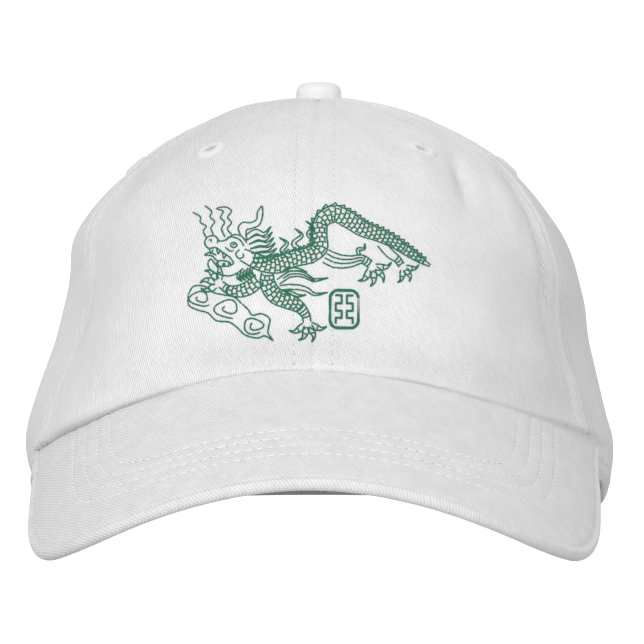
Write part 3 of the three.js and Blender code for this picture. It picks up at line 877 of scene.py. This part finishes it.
# Stitches along a line, evenly spaced: each one is a short spindle whose ends go down into the cloth
# by a power of a sine.
def stitchesAlong(points, normals, pitch=stitch["pitch"], length=stitch["length"]):
    run = runAlong(points)
    count = int(run[-1] / pitch)
    starts = (np.arange(count) + 0.5) * run[-1] / count - length / 2
    share = stitch["places"]
    places = starts[:, None] + share * length
    centres = np.stack([np.interp(places, run, points[:, k]) for k in range(3)], -1)
    facing = unit(np.stack([np.interp(places, run, normals[:, k]) for k in range(3)], -1))
    rise = stitch["lift"] + (stitch["sink"] + stitch["lift"]) * (np.sin(math.pi * share) ** stitch["bow"] - 1)
    return centres + facing * rise[:, None], facing, np.broadcast_to(stitch["sizes"], places.shape)


# Painted shade of the needle's holes: short dark spindles between the stitches, level with the cloth.
def addStitches(name, runs, material, hole):
    centres, normals, thin = (np.concatenate(parts) for parts in zip(*runs))
    addThreads(name, centres, normals, stitch["across"] * thin, stitch["upwards"] * thin, material)
    holeShades, facing = [], []
    for centre, normal, _ in runs:
        start, end = centre[:-1, -1], centre[1:, 0]
        share = stitch["holeShadePlaces"][None, :, None]
        holeShades.append(start[:, None] * (1 - share) + end[:, None] * share + normal[1:, :1] * stitch["holeShadeLift"])
        facing.append(np.repeat(normal[1:, :1], share.size, 1))
    size = stitch["holeShadeSizes"] * hole
    addThreads(name + "HoleShade", np.concatenate(holeShades), np.concatenate(facing), size, size * 0.5, needleShade)


# The crown's rows: rings that the seams' rows run through, and how far over the arch they end; height
# and angles of the rim's row; distance of the arch's row, and the turn from level where it starts.
# hole is the half width of the dark spindles that paint the shade of the crown's needle holes.
crownRows = {"rings": (0.35, 10.35), "overArch": 2.5, "rimHeight": 5.0, "rimAngles": (73, 158), "archRise": 5.5,
             "archTurn": 0.12, "samples": 400, "seamSamples": 500, "hole": 0.17}


# Stitches along a line of angles and rings on the crown.
def crownRun(angle, ring):
    return stitchesAlong(foldedCrown(angle, ring), crownNormal(angle, ring))


# Rows of topstitching on each side of the crown's seams, from the rim to the button. Their angle from
# the seam is the row's distance by the ring's speed.
def seamRuns():
    runs = []
    for seam in seamAngles:
        for side in (-1, 1):
            first, last = crownRows["rings"]
            if seam == seams["back"]:
                first = ringAtHeight(np.array(seam), arch["height"] + crownRows["overArch"])
            ring = np.linspace(first, last, crownRows["seamSamples"])
            runs.append(crownRun(seam + side * sewing["row"] / crownSpeed(seam, ring), ring))
    return runs


# The row that holds the sweatband, above the rim, and the row round the arch.
def rimRuns():
    near, far = crownRows["rimAngles"]
    runs = []
    for start, end in ((-far, -near), (near, far)):
        angle = np.linspace(start, end, crownRows["samples"])
        runs.append(crownRun(angle, ringAtHeight(angle, crownRows["rimHeight"])))
    turns = np.linspace(crownRows["archTurn"], math.pi - crownRows["archTurn"], crownRows["samples"])
    rise = crownRows["archRise"]
    archX, archZ = (arch["halfWidth"] + rise) * np.cos(turns), (arch["height"] + rise) * np.sin(turns)
    return runs + [crownRun(*crownAt(archX, archZ, behind=True))]


addStitches("crownStitching", seamRuns() + rimRuns(), seamThread, crownRows["hole"])


# The peak's rows, on both faces, cut off where they pass under the crown.
def peakRuns():
    runs = []
    half = peak["thickness"] / 2
    for line in peakRows:
        point = peakPoint(line[:, 0], line[:, 1], half)
        rimX, rimY = rimPlan(np.degrees(np.arctan2(point[:, 0], -point[:, 1])))
        line = line[np.hypot(point[:, 0], point[:, 1]) > np.hypot(rimX, rimY) - 1.0]
        for face in (1, -1):
            top = peakPoint(line[:, 0], line[:, 1], face * (half - peakSewing["rowDip"]))
            slope = peak["slope"]
            turn = line[:, 0] / peak["bend"]
            up = np.cos(turn)
            normal = face * np.stack([np.sin(turn), -up * math.sin(slope), up * math.cos(slope)], -1)
            runs.append(stitchesAlong(top, normal, peakSewing["pitch"], peakSewing["length"]))
    return runs


addStitches("peakStitching", peakRuns(), whiteThread, peakSewing["hole"])
print("stage: stitching is made")

# Embroidery. The drawing is flat, in mm from its middle, and each line of it becomes a thread.
# needle is the step along a thread, and the pinch, its width and the end are shares of the thread.
# edge, rung, shin and tick are how many points the lines on a band have.
embroidery = {"edge": 200, "rung": 9, "shin": 7, "tick": 4, "needle": 0.35, "middle": 76.0, "across": 0.24,
              "upwards": 0.17, "lift": 0.12, "stitch": 1.7, "pinch": 0.2, "pinchWidth": 0.16, "end": 0.3, "sides": 8}
threads = []

# A thread through control points: knots are their running distances, and the places between are
# taken from the cubic through them.
def thread(points, closed=False, turned=None, at=(0, 0), scale=1.0):
    points = np.array(points, float) * scale
    if turned is not None:
        c, s = math.cos(math.radians(turned)), math.sin(math.radians(turned))
        points = points @ np.array([[c, s], [-s, c]])
    points = points + np.array(at, float)
    if closed:
        points = np.vstack([points, points[:1]])
    knots = runAlong(points)
    count = max(int(knots[-1] / embroidery["needle"]), 3)
    places = np.linspace(0, knots[-1], count + 1)
    if closed:
        wide = np.vstack([points[-3:-1], points, points[1:3]])
        step = runAlong(wide)
        line = smoothThrough(step - step[2], wide, places)
    else:
        line = smoothThrough(knots, points, places)
    threads.append(line)
    return line

# The body as a band along its middle line: a place along it and a share of its half width give a
# point, with share -1 on the left of the way it runs.
class Band:
    def __init__(self, rows):
        rows = np.array(rows, float)
        self.knots, self.rows = runAlong(rows[:, :2]), rows
        self.length = self.knots[-1]

    # The middle line's point, moved square to its way by the share of the half width there.
    def at(self, along, share):
        along = np.asarray(along, float)
        here = smoothThrough(self.knots, self.rows, along)
        ahead = smoothThrough(self.knots, self.rows, np.minimum(along + 0.1, self.length))
        back = smoothThrough(self.knots, self.rows, np.maximum(along - 0.1, 0))
        way = unit(ahead[..., :2] - back[..., :2])
        side = np.stack([way[..., 1], -way[..., 0]], -1)
        return here[..., :2] + side * (np.asarray(share) * here[..., 2])[..., None]

    # A line that keeps to one share.
    def edge(self, share, start=0.0, end=None):
        places = np.linspace(start, self.length if end is None else end, embroidery["edge"])
        threads.append(self.at(places, np.full(len(places), float(share))))

    # Scale net: bowed rungs every pitch, and short ticks between them that change lanes.
    def scales(self, pitch, lanes, low, high, start, end, bow=0.3):
        count = int((end - start) / pitch)
        for k in range(count + 1):
            at = start + (end - start) * k / count
            share = np.linspace(low, high, embroidery["rung"])
            threads.append(self.at(at + bow * np.sin(np.pi * (share - low) / (high - low)), share))
            if k < count:
                for lane in range(lanes):
                    place = low + (high - low) * (lane + (0.5 if k % 2 else 1.0)) / lanes
                    if place < high - 0.05:
                        rows = np.linspace(at, at + (end - start) / count, embroidery["tick"])
                        lean = bow * np.sin(np.pi * (place - low) / (high - low))
                        threads.append(self.at(rows + lean, np.full(len(rows), place)))

    # Plain rungs across a shin.
    def rungs(self, pitch, start, end):
        for at in np.arange(start, end, pitch):
            share = np.linspace(-1, 1, embroidery["shin"])
            threads.append(self.at(at + 0.25 * (1 - share ** 2), share))

    # Saw edge of small fins outside the band.
    def fins(self, share, height, pitch, start, end):
        count = int((end - start) / pitch)
        places = np.linspace(start, end, count * 2 + 1)
        width = smoothThrough(self.knots, self.rows, places)[:, 2]
        lift = np.where(np.arange(count * 2 + 1) % 2, height, 0.0) / np.maximum(width, 0.4)
        line = self.at(places + np.where(np.arange(count * 2 + 1) % 2, pitch * 0.3, 0), share + np.sign(share) * lift)
        parts = [np.linspace(line[k], line[k + 1], 5)[:-1] for k in range(len(line) - 1)]
        threads.append(np.vstack(parts + [line[-1:]]))


# A hooked claw toe: a fat finger with a curved talon, drawn from its root at the origin.
def toe(at, turned, scale=1.0, curl=1):
    finger = [(0, 0.75), (1.3, 1.0), (2.3, 0.8), (3.4, 0.2), (4.1, -1.1), (3.2, -0.35), (2.2, -0.45), (1.2, -0.6),
              (0, -0.55)]
    thread([(x, y * curl) for x, y in finger], turned=turned, at=at, scale=scale)
    thread([(2.35, 0.75 * curl), (2.0, 0.1 * curl), (2.3, -0.45 * curl)], turned=turned, at=at, scale=scale)


# A foot: toes fanned round a turn, the last of which curls the other way.
def foot(at, turned, scale, curl, spread, toes=4):
    for k in range(toes):
        fan = (k - (toes - 1) / 2) * spread
        c, s = math.cos(math.radians(turned + fan)), math.sin(math.radians(turned + fan))
        toe((at[0] + 0.9 * scale * c, at[1] + 0.9 * scale * s), turned + fan, scale, curl if k < toes - 1 else -curl)


# A flame: two edges that meet in a point, with a line between them where it is wide enough. Its half
# width is a sine that starts at a share of its arc.
flameShape = {"points": 40, "start": 0.35, "lineWidth": 0.7, "lineEnds": (4, -10)}


def flame(points, width):
    points = np.array(points, float)
    knots = runAlong(points)
    places = np.linspace(0, knots[-1], flameShape["points"])
    line = smoothThrough(knots, points, places)
    way = unit(np.gradient(line, axis=0))
    side = np.stack([-way[:, 1], way[:, 0]], -1)
    swell = width * np.sin(np.pi * np.linspace(flameShape["start"], 1, len(places)))[:, None]
    threads.append(line + side * swell)
    threads.append(line - side * swell)
    if width > flameShape["lineWidth"]:
        threads.append(line[slice(*flameShape["lineEnds"])])


# The body: both edges, a scale net that narrows at the tail, and the fins of the back.
def drawBody():
    body = Band([(-19.6, 5.6, 1.6), (-16.8, 4.4, 1.9), (-13.6, 3.2, 2.1), (-9.6, 3.0, 2.2), (-5.6, 4.4, 2.1),
                 (-1.6, 5.2, 2.1), (1.6, 7.2, 2.1), (1.6, 10.8, 2.0), (2.0, 14.4, 2.0), (5.4, 16.5, 2.1),
                 (9.2, 15.0, 2.1), (13.2, 12.4, 1.9), (17.6, 10.8, 1.7), (21.8, 8.8, 1.45), (25.6, 6.2, 1.15),
                 (28.8, 4.0, 0.8), (31.8, 2.2, 0.2)])
    body.edge(-1)
    body.edge(1)
    body.scales(1.22, 3, -1, 1, 3.2, body.length - 9.0, 0.32)
    body.scales(1.1, 2, -1, 1, body.length - 8.2, body.length - 2.4, 0.25)
    body.fins(-1, 0.85, 1.5, 7.0, body.length - 2.0)


# The head, from the upper jaw and the lower one to teeth, eye, brow, nostril, ear and beard.
def drawHead():
    thread([(-18.2, 8.6), (-19.8, 10.4), (-22.0, 10.6), (-23.8, 9.4), (-25.6, 8.9), (-27.0, 10.2), (-29.0, 10.0),
            (-29.9, 8.4), (-28.8, 7.0), (-26.8, 7.2), (-25.2, 6.2), (-23.8, 5.4), (-22.6, 4.4), (-21.8, 3.2)])
    thread([(-21.8, 3.2), (-23.2, 2.5), (-24.8, 2.4), (-26.6, 2.6), (-28.2, 4.2), (-29.0, 2.8), (-27.9, 1.0),
            (-25.6, 0.2), (-23.0, -0.1), (-20.8, 0.7), (-19.2, 2.0)])
    thread([(-22.9, 3.5), (-24.8, 3.9), (-26.4, 3.8), (-27.8, 5.0), (-29.8, 5.2), (-28.4, 5.9), (-26.6, 5.2)])
    for x, y in ((-28.2, 6.9), (-26.2, 6.9), (-24.6, 5.8)):
        thread([(x - 0.4, y + 0.1), (x + 0.1, y - 1.3), (x + 0.7, y - 0.1)])
    for x, y in ((-26.4, 2.6), (-24.6, 2.4), (-23.0, 2.6)):
        thread([(x - 0.4, y), (x, y + 0.9), (x + 0.4, y)])
    thread([(-22.8, 8.1), (-21.9, 8.7), (-20.9, 8.0), (-21.9, 7.3)], closed=True)
    thread([(-22.2, 8.0), (-21.9, 8.2), (-21.6, 7.9)])
    thread([(-23.8, 9.0), (-23.4, 9.9), (-21.8, 10.0), (-20.2, 9.4), (-19.0, 7.8)])
    thread([(-28.9, 9.0), (-28.2, 9.3), (-28.0, 8.5)])
    thread([(-27.0, 10.1), (-26.2, 9.4), (-26.4, 8.2)])
    thread([(-20.2, 7.0), (-21.3, 5.8), (-20.5, 4.6), (-19.2, 5.0), (-19.4, 6.0)])
    thread([(-24.2, 7.4), (-22.8, 6.4), (-21.8, 6.6)])
    for k in range(5):
        x = 0.9 * k
        flame([(-20.4 + x, 0.6 + 0.5 * k), (-20.6 + x, -0.6 + 0.4 * k), (-19.4 + x, -1.6 + 0.3 * k)], 0.3)
    # horns
    thread([(-20.0, 10.5), (-20.6, 12.6), (-19.4, 13.9), (-17.2, 13.9), (-15.6, 14.8), (-15.4, 16.6), (-14.2, 18.2),
            (-14.0, 15.6), (-14.9, 13.3), (-17.0, 12.4), (-18.4, 11.9), (-18.3, 9.2)])
    thread([(-22.4, 10.6), (-23.6, 12.2), (-22.5, 13.8), (-23.6, 15.2), (-22.6, 16.9), (-24.3, 18.0), (-26.8, 17.6),
            (-24.9, 16.8), (-25.6, 15.2), (-24.4, 13.9), (-25.2, 12.2), (-24.2, 9.9)])
    # whiskers
    thread([(-29.4, 9.6), (-30.4, 11.6), (-29.6, 12.8), (-31.4, 14.0), (-31.4, 15.4), (-33.8, 16.8)])
    thread([(-27.4, 10.4), (-28.2, 12.4), (-27.2, 14.0), (-28.6, 15.4), (-28.2, 16.8), (-30.4, 18.6)])
    # mane
    for k in range(6):
        x, y = -18.4 + 0.4 * k, 10.0 - 1.15 * k
        flame([(x, y), (x + 2.6, y + 1.6 - 0.35 * k), (x + 4.8, y + 1.0 - 0.1 * k),
               (x + 6.8, y + 3.0 - 0.25 * k)], 0.62)


# The four limbs with their feet, the two near ones with scales.
def drawLimbs():
    # streamers off the shoulder, to the right
    flame([(-9.6, -1.6), (-6.2, 0.4), (-3.0, 0.2), (0.4, -1.2), (4.2, -0.8)], 0.75)
    flame([(-9.2, -3.2), (-5.6, -3.0), (-2.2, -3.6), (0.8, -5.0), (4.0, -4.6)], 0.65)
    flame([(-8.8, 0.4), (-6.8, 1.6), (-4.2, 1.6), (-1.6, 0.8)], 0.5)
    flame([(-8.4, -4.4), (-6.0, -4.6), (-4.0, -5.4), (-1.8, -5.2)], 0.45)
    flame([(-3.4, 6.4), (-5.4, 8.6), (-3.2, 10.6), (-5.2, 12.6)], 0.55)
    flame([(-6.6, 5.2), (-8.6, 6.8), (-7.2, 8.6), (-9.4, 10.2)], 0.5)
    flame([(0.6, 9.4), (-1.4, 11.0), (-0.2, 13.0), (-2.2, 14.6)], 0.5)

    front = Band([(-12.6, 1.2, 1.5), (-12.4, -2.2, 2.0), (-10.4, -5.2, 2.1), (-6.8, -6.8, 2.0), (-3.8, -8.4, 1.5),
                  (-2.0, -10.6, 1.1), (-1.6, -12.4, 1.0)])
    front.edge(-1, 0.3)
    front.edge(1, 0.3)
    front.scales(1.2, 3, -1, 1, 0.9, front.length - 4.6, 0.3)
    front.rungs(0.9, front.length - 4.2, front.length - 0.6)
    foot((-1.6, -12.6), -84, 1.05, 1, 40)
    left = Band([(-14.4, -0.6, 1.5), (-17.0, -3.0, 1.8), (-20.2, -4.2, 1.6), (-23.2, -3.8, 1.1), (-25.4, -2.4, 0.9)])
    left.edge(-1, 0.4)
    left.edge(1, 0.4)
    left.scales(1.2, 2, -1, 1, 0.9, left.length - 2.6, 0.3)
    left.rungs(0.9, left.length - 2.2, left.length - 0.5)
    foot((-26.0, -2.2), 148, 1.0, -1, 40)

    hind = Band([(2.6, 5.4, 1.9), (6.2, 3.9, 1.9), (10.0, 3.8, 1.5), (13.2, 4.4, 1.1), (15.6, 3.0, 1.0)])
    for share in (-1, -0.35, 0.3, 1):
        hind.edge(share, 0.8, hind.length - (0.0 if abs(share) == 1 else 2.6))
    hind.rungs(0.9, hind.length - 2.4, hind.length - 0.5)
    foot((15.9, 2.5), -62, 1.05, 1, 40)
    flame([(12.4, 5.6), (12.2, 7.0), (13.8, 7.2), (14.0, 8.6)], 0.4)
    far = Band([(18.4, 8.6, 1.2), (20.6, 6.0, 1.1), (22.8, 4.2, 0.9), (24.0, 2.6, 0.8)])
    far.edge(-1, 0.8)
    far.edge(1)
    far.rungs(0.9, far.length - 2.4, far.length - 0.4)
    foot((24.3, 2.2), -52, 0.85, 1, 44, 3)


# Clouds: a row of lobes, each an open ring that ends in a scroll, with a tail drawn out to the right.
# A lobe is its middle, size, turns and lean in degrees. Its reach shrinks with a power of the way.
cloud = {"points": 70, "start": 300, "shrink": 0.72, "power": 1.3, "wobble": 0.1, "wide": 1.25, "tall": 0.86,
         "lobes": (((-31.0, -6.2), 2.6, 1.45, 15), ((-23.2, -8.8), 3.2, 1.4, -10), ((-16.0, -13.4), 2.7, 1.5, 0))}


def drawClouds():
    for (x, y), size, turns, lean in cloud["lobes"]:
        t = np.linspace(0, 1, cloud["points"])
        angle = math.radians(cloud["start"] + lean) - 2 * math.pi * turns * t
        reach = size * (1 - cloud["shrink"] * t ** cloud["power"]) * (1 + cloud["wobble"] * np.cos(3 * angle + lean))
        threads.append(np.stack([x + cloud["wide"] * reach * np.cos(angle),
                                 y + cloud["tall"] * reach * np.sin(angle)], -1))
    thread([(-34.4, -5.4), (-34.2, -8.2), (-31.8, -9.4), (-28.8, -10.2), (-26.4, -12.2), (-22.8, -12.6),
            (-20.6, -14.2), (-18.8, -16.0), (-15.4, -16.8), (-13.4, -16.2), (-11.0, -17.6)])
    thread([(-19.4, -7.6), (-17.6, -9.2), (-16.6, -10.6), (-14.0, -10.2), (-11.8, -11.6), (-12.2, -13.8),
            (-12.4, -15.4), (-11.0, -17.6)])
    thread([(-34.4, -5.4), (-33.0, -3.2), (-30.0, -3.0), (-27.4, -4.6), (-24.6, -5.2), (-21.6, -5.8), (-19.4, -7.6)])


# Satin stitch: threads laid side by side across each straight of a path.
def satin(points, width, pitch=0.3):
    points = np.array(points, float)
    for start, end in zip(points[:-1], points[1:]):
        way = (end - start) / np.linalg.norm(end - start)
        side = np.array([-way[1], way[0]]) * width / 2
        count = max(int(np.linalg.norm(end - start) / pitch), 2)
        for k in range(count + 1):
            middle = start + (end - start) * k / count
            threads.append(np.linspace(middle - side, middle + side, 4))


# A frame with rounded corners round two upright key patterns.
def drawFrame():
    low, high = np.array([4.4, -14.2]), np.array([12.5, -3.8])
    for inset, corner in ((0.0, 2.3), (0.36, 2.0)):
        a, b = low + inset, high - inset
        turns = np.linspace(0, math.pi / 2, 7)
        parts = []
        for x, y, first in ((b[0] - corner, b[1] - corner, 0), (a[0] + corner, b[1] - corner, 90),
                            (a[0] + corner, a[1] + corner, 180), (b[0] - corner, a[1] + corner, 270)):
            angle = math.radians(first) + turns
            parts.append(np.stack([x + corner * np.cos(angle), y + corner * np.sin(angle)], -1))
        ring = np.vstack(parts)
        threads.append(np.vstack([ring, ring[:1]]))
    for x, flip in ((6.9, 1), (10.0, -1)):
        key = [(-0.75, 3.6), (0.85, 3.6), (0.85, 1.5), (-0.75, 1.5), (-0.75, -0.5), (0.85, -0.5), (0.85, -2.4),
               (-0.75, -2.4), (-0.75, -3.8)]
        satin([(x + across * flip, -8.9 + up) for across, up in key], 0.66)


# The flat drawing laid on the crown: each point goes to the angle and ring that have its x and z.
# The thread is pinched where the needle goes through.
def addEmbroidery():
    for draw in (drawBody, drawHead, drawLimbs, drawClouds, drawFrame):
        draw()
    flat = np.vstack(threads)
    angle, ring = crownAt(flat[:, 0], embroidery["middle"] + flat[:, 1])
    centres = foldedCrown(angle, ring, embroidery["lift"])
    normals = crownNormal(angle, ring)
    made, first, start = [], 0, 0
    for line in threads:
        end = start + len(line)
        centre, normal = centres[None, start:end], normals[None, start:end]
        place = runAlong(centre) / embroidery["stitch"] % 1
        full = 1 - embroidery["pinch"] * bell(place, 0.5, embroidery["pinchWidth"])
        full[:, [0, -1]] = embroidery["end"]
        across, upwards = embroidery["across"] * full, embroidery["upwards"] * full
        points, quads, uv = tubes(centre, normal, across, upwards, embroidery["sides"])
        made.append((points, quads + first, uv))
        first, start = first + len(points), end
    points, quads, uv = (np.vstack(parts) for parts in zip(*made))
    addPiece("embroidery", toFrame(points), quads, greenThread, uv, stitch["sharp"])


addEmbroidery()
print("stage: embroidery is made")

# Eyelets: the section turned round the hole's middle, thicker where each stitch lies.
def addEyelet(panel):
    angle, ring = np.array(panel["eyelet"], float), np.array(eyelet["ring"])
    centre, normal = crownPoint(angle, ring), crownNormal(angle, ring)
    across = unit(np.cross((0, 0, 1.0), normal))
    up = np.cross(normal, across)
    section = np.vstack([eyelet["section"], eyelet["section"][:1]])
    bent = smoothThrough(np.arange(len(section)), section,
                         np.linspace(0, len(section) - 1, eyelet["columns"] + 1)[:-1])
    turns = np.linspace(0, 2 * math.pi, eyelet["stitches"] * eyelet["perStitch"] + 1)[:-1]
    ridge = eyelet["ridge"] * np.abs(np.cos(turns * eyelet["stitches"] / 2))[:, None]
    spread = bent - np.array(eyelet["middle"])
    lifted = bent[None] + unit(spread)[None] * ridge[..., None]
    radius, height = lifted[..., 0], lifted[..., 1]
    points = (centre + radius[..., None] * (across * np.cos(turns)[:, None, None] + up * np.sin(turns)[:, None, None])
              + height[..., None] * normal)
    count, columns = points.shape[:2]
    loop = np.concatenate([points, points[:1]])
    quads = gridQuads(count + 1, columns, closedColumns=True) % (count * columns)
    uv = np.stack(np.broadcast_arrays(np.arange(columns)[None] * eyelet["map"], turns[:, None] * 0.0), -1) / mapSize
    piece = addPiece(panel["name"].replace("panel", "eyelet"), toFrame(loop[:-1]), quads[:, ::-1], eyeletThread,
                     uv.reshape(-1, 2), 70)
    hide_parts(panel["node"].replace("panel", "eyelet"))


for panel in panels:
    addEyelet(panel)
print("stage: eyelets are made")

# Covered button: radius and height of its section above the dome's base, with small tucks where the
# cloth is gathered under it.
button = {"lift": 0.3, "tucks": 11, "tuckDepth": 0.16, "tuckPlace": (0.3, 1.0), "mapTurn": 0.6, "rows": 90,
          "sides": 96,
          "section": np.array([(0, 4.3), (2.4, 4.26), (4.2, 4.02), (5.5, 3.4), (6.3, 2.4), (6.65, 1.2), (6.75, 0.1),
                               (6.7, -0.9), (5.8, -1.5), (4.2, -1.6), (3.9, -2.6), (4.6, -3.0), (6.2, -3.1),
                               (6.2, -3.8), (3.0, -3.9), (0, -3.9)])}


# The section turned round the crown's top, with a fan of faces over each end.
def addButton():
    section = button["section"]
    bent = smoothThrough(np.arange(len(section)), section, np.linspace(0, len(section) - 1, button["rows"])[1:-1])
    turns = np.linspace(0, 2 * math.pi, button["sides"] + 1)[:-1]
    edge = bell(bent[:, 1], *button["tuckPlace"])
    radius = bent[:, 0] - button["tuckDepth"] * edge * (1 + np.cos(turns[:, None] * button["tucks"])) / 2
    height = bent[:, 1] + apex["z"] + button["lift"] + 0 * radius
    ring = np.stack([radius * np.cos(turns)[:, None], apex["y"] + radius * np.sin(turns)[:, None], height], -1)
    rows = np.swapaxes(ring, 0, 1)
    count, columns = rows.shape[:2]
    poles = np.array([[0, apex["y"], height.max()], [0, apex["y"], height.min()]])
    j = np.arange(0, columns, 2)
    first, last = count * columns, count * columns + 1
    caps = [np.stack([np.full(len(j), first), j, j + 1, (j + 2) % columns], -1),
            (np.stack([np.full(len(j), last), (j + 2) % columns, j + 1, j], -1)
             + np.array([0, 1, 1, 1]) * (count - 1) * columns)]
    points = np.vstack([rows.reshape(-1, 3), poles])
    walk = runAlong(bent)[:, None] + bent[0, 0]
    mapTurns = turns + button["mapTurn"]
    flat = np.stack([walk * np.cos(mapTurns), walk * np.sin(mapTurns)], -1).reshape(-1, 2)
    uv = np.vstack([flat, np.zeros((2, 2))]) / mapSize + 0.5
    quads = np.vstack([gridQuads(count, columns, closedColumns=True)] + caps)
    piece = addPiece("coveredButton", toFrame(points), quads, buttonTwill, uv)
    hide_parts("button")


addButton()
print("stage: button is made")

# Bands inside the crown: the two straps and the sweatband. heights are above the rim, depth is from
# the crown's outer face, and step is where the inner strap goes behind the outer one. Along its edges
# a band is plump, with a row's groove beside that: distance from the edge and width.
band = {"thickness": 1.2, "depth": cloth + 0.4, "gap": 0.35, "step": (160, 166.5), "rows": 30, "plump": 0.16,
        "plumpAt": (0, 1.6), "groove": 0.12, "grooveAt": (2.4, 0.5)}
bands = [
    {"name": "strapOuter", "node": "strap_outer", "from": 168, "to": 212, "columns": 110, "heights": (0.6, 19.4),
     "depth": lambda angle: band["depth"] + 0 * angle},
    {"name": "strapInner", "node": "strap_inner", "from": 148, "to": 190, "columns": 110, "heights": (0.6, 19.4),
     "depth": lambda angle: band["depth"] + smoothStep(*band["step"], angle) * (band["thickness"] + band["gap"])},
    {"name": "innerSweatband", "node": "sweatband", "from": -145, "to": 145, "columns": 420, "heights": (3.1, 25.4),
     "depth": lambda angle: cloth + 1.2 + 0 * angle},
]


# A point of a band, under the crown's outer face without the sewing's relief.
def bandPlace(angle, height, depth):
    ring = ringAtHeight(angle, height)
    return foldedCrown(angle, ring, -depth - sewnRelief(angle, ring))


# A band: rows of the outer face from the top down, hemmed at both edges. The map lies at 45 degrees.
def addBand(settings):
    angles = np.linspace(settings["from"], settings["to"], settings["columns"])[None]
    heights = np.linspace(settings["heights"][1], settings["heights"][0], band["rows"])[:, None]
    angle, height = np.broadcast_arrays(angles, heights)
    depth = settings["depth"](angle)
    fromEdge = np.minimum(height - settings["heights"][0], settings["heights"][1] - height)
    plump = band["plump"] * bell(fromEdge, *band["plumpAt"]) - band["groove"] * bell(fromEdge, *band["grooveAt"])
    outer = bandPlace(angle, height, depth - plump)
    inner = bandPlace(angle, height, depth + band["thickness"])
    down, up = unit(outer[-1] - outer[-2]), unit(outer[0] - outer[1])
    topHem = hemRows(inner[0], outer[0], up)
    rows = np.concatenate([topHem[2:], outer, hemRows(outer[-1], inner[-1], down), inner[::-1], topHem[:2]])
    along, across = np.broadcast_arrays(runAlong(outer[0])[None], runAlong(rows[:, 0])[:, None])
    uv = np.stack([along + across, along - across], -1).reshape(-1, 2) * math.sqrt(0.5) / mapSize + 0.5
    piece = addPiece(settings["name"], toFrame(rows), foldedSheet(rows), crownTwill, uv)
    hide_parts(settings["node"])


for settings in bands:
    addBand(settings)
print("stage: straps and sweatband are made")
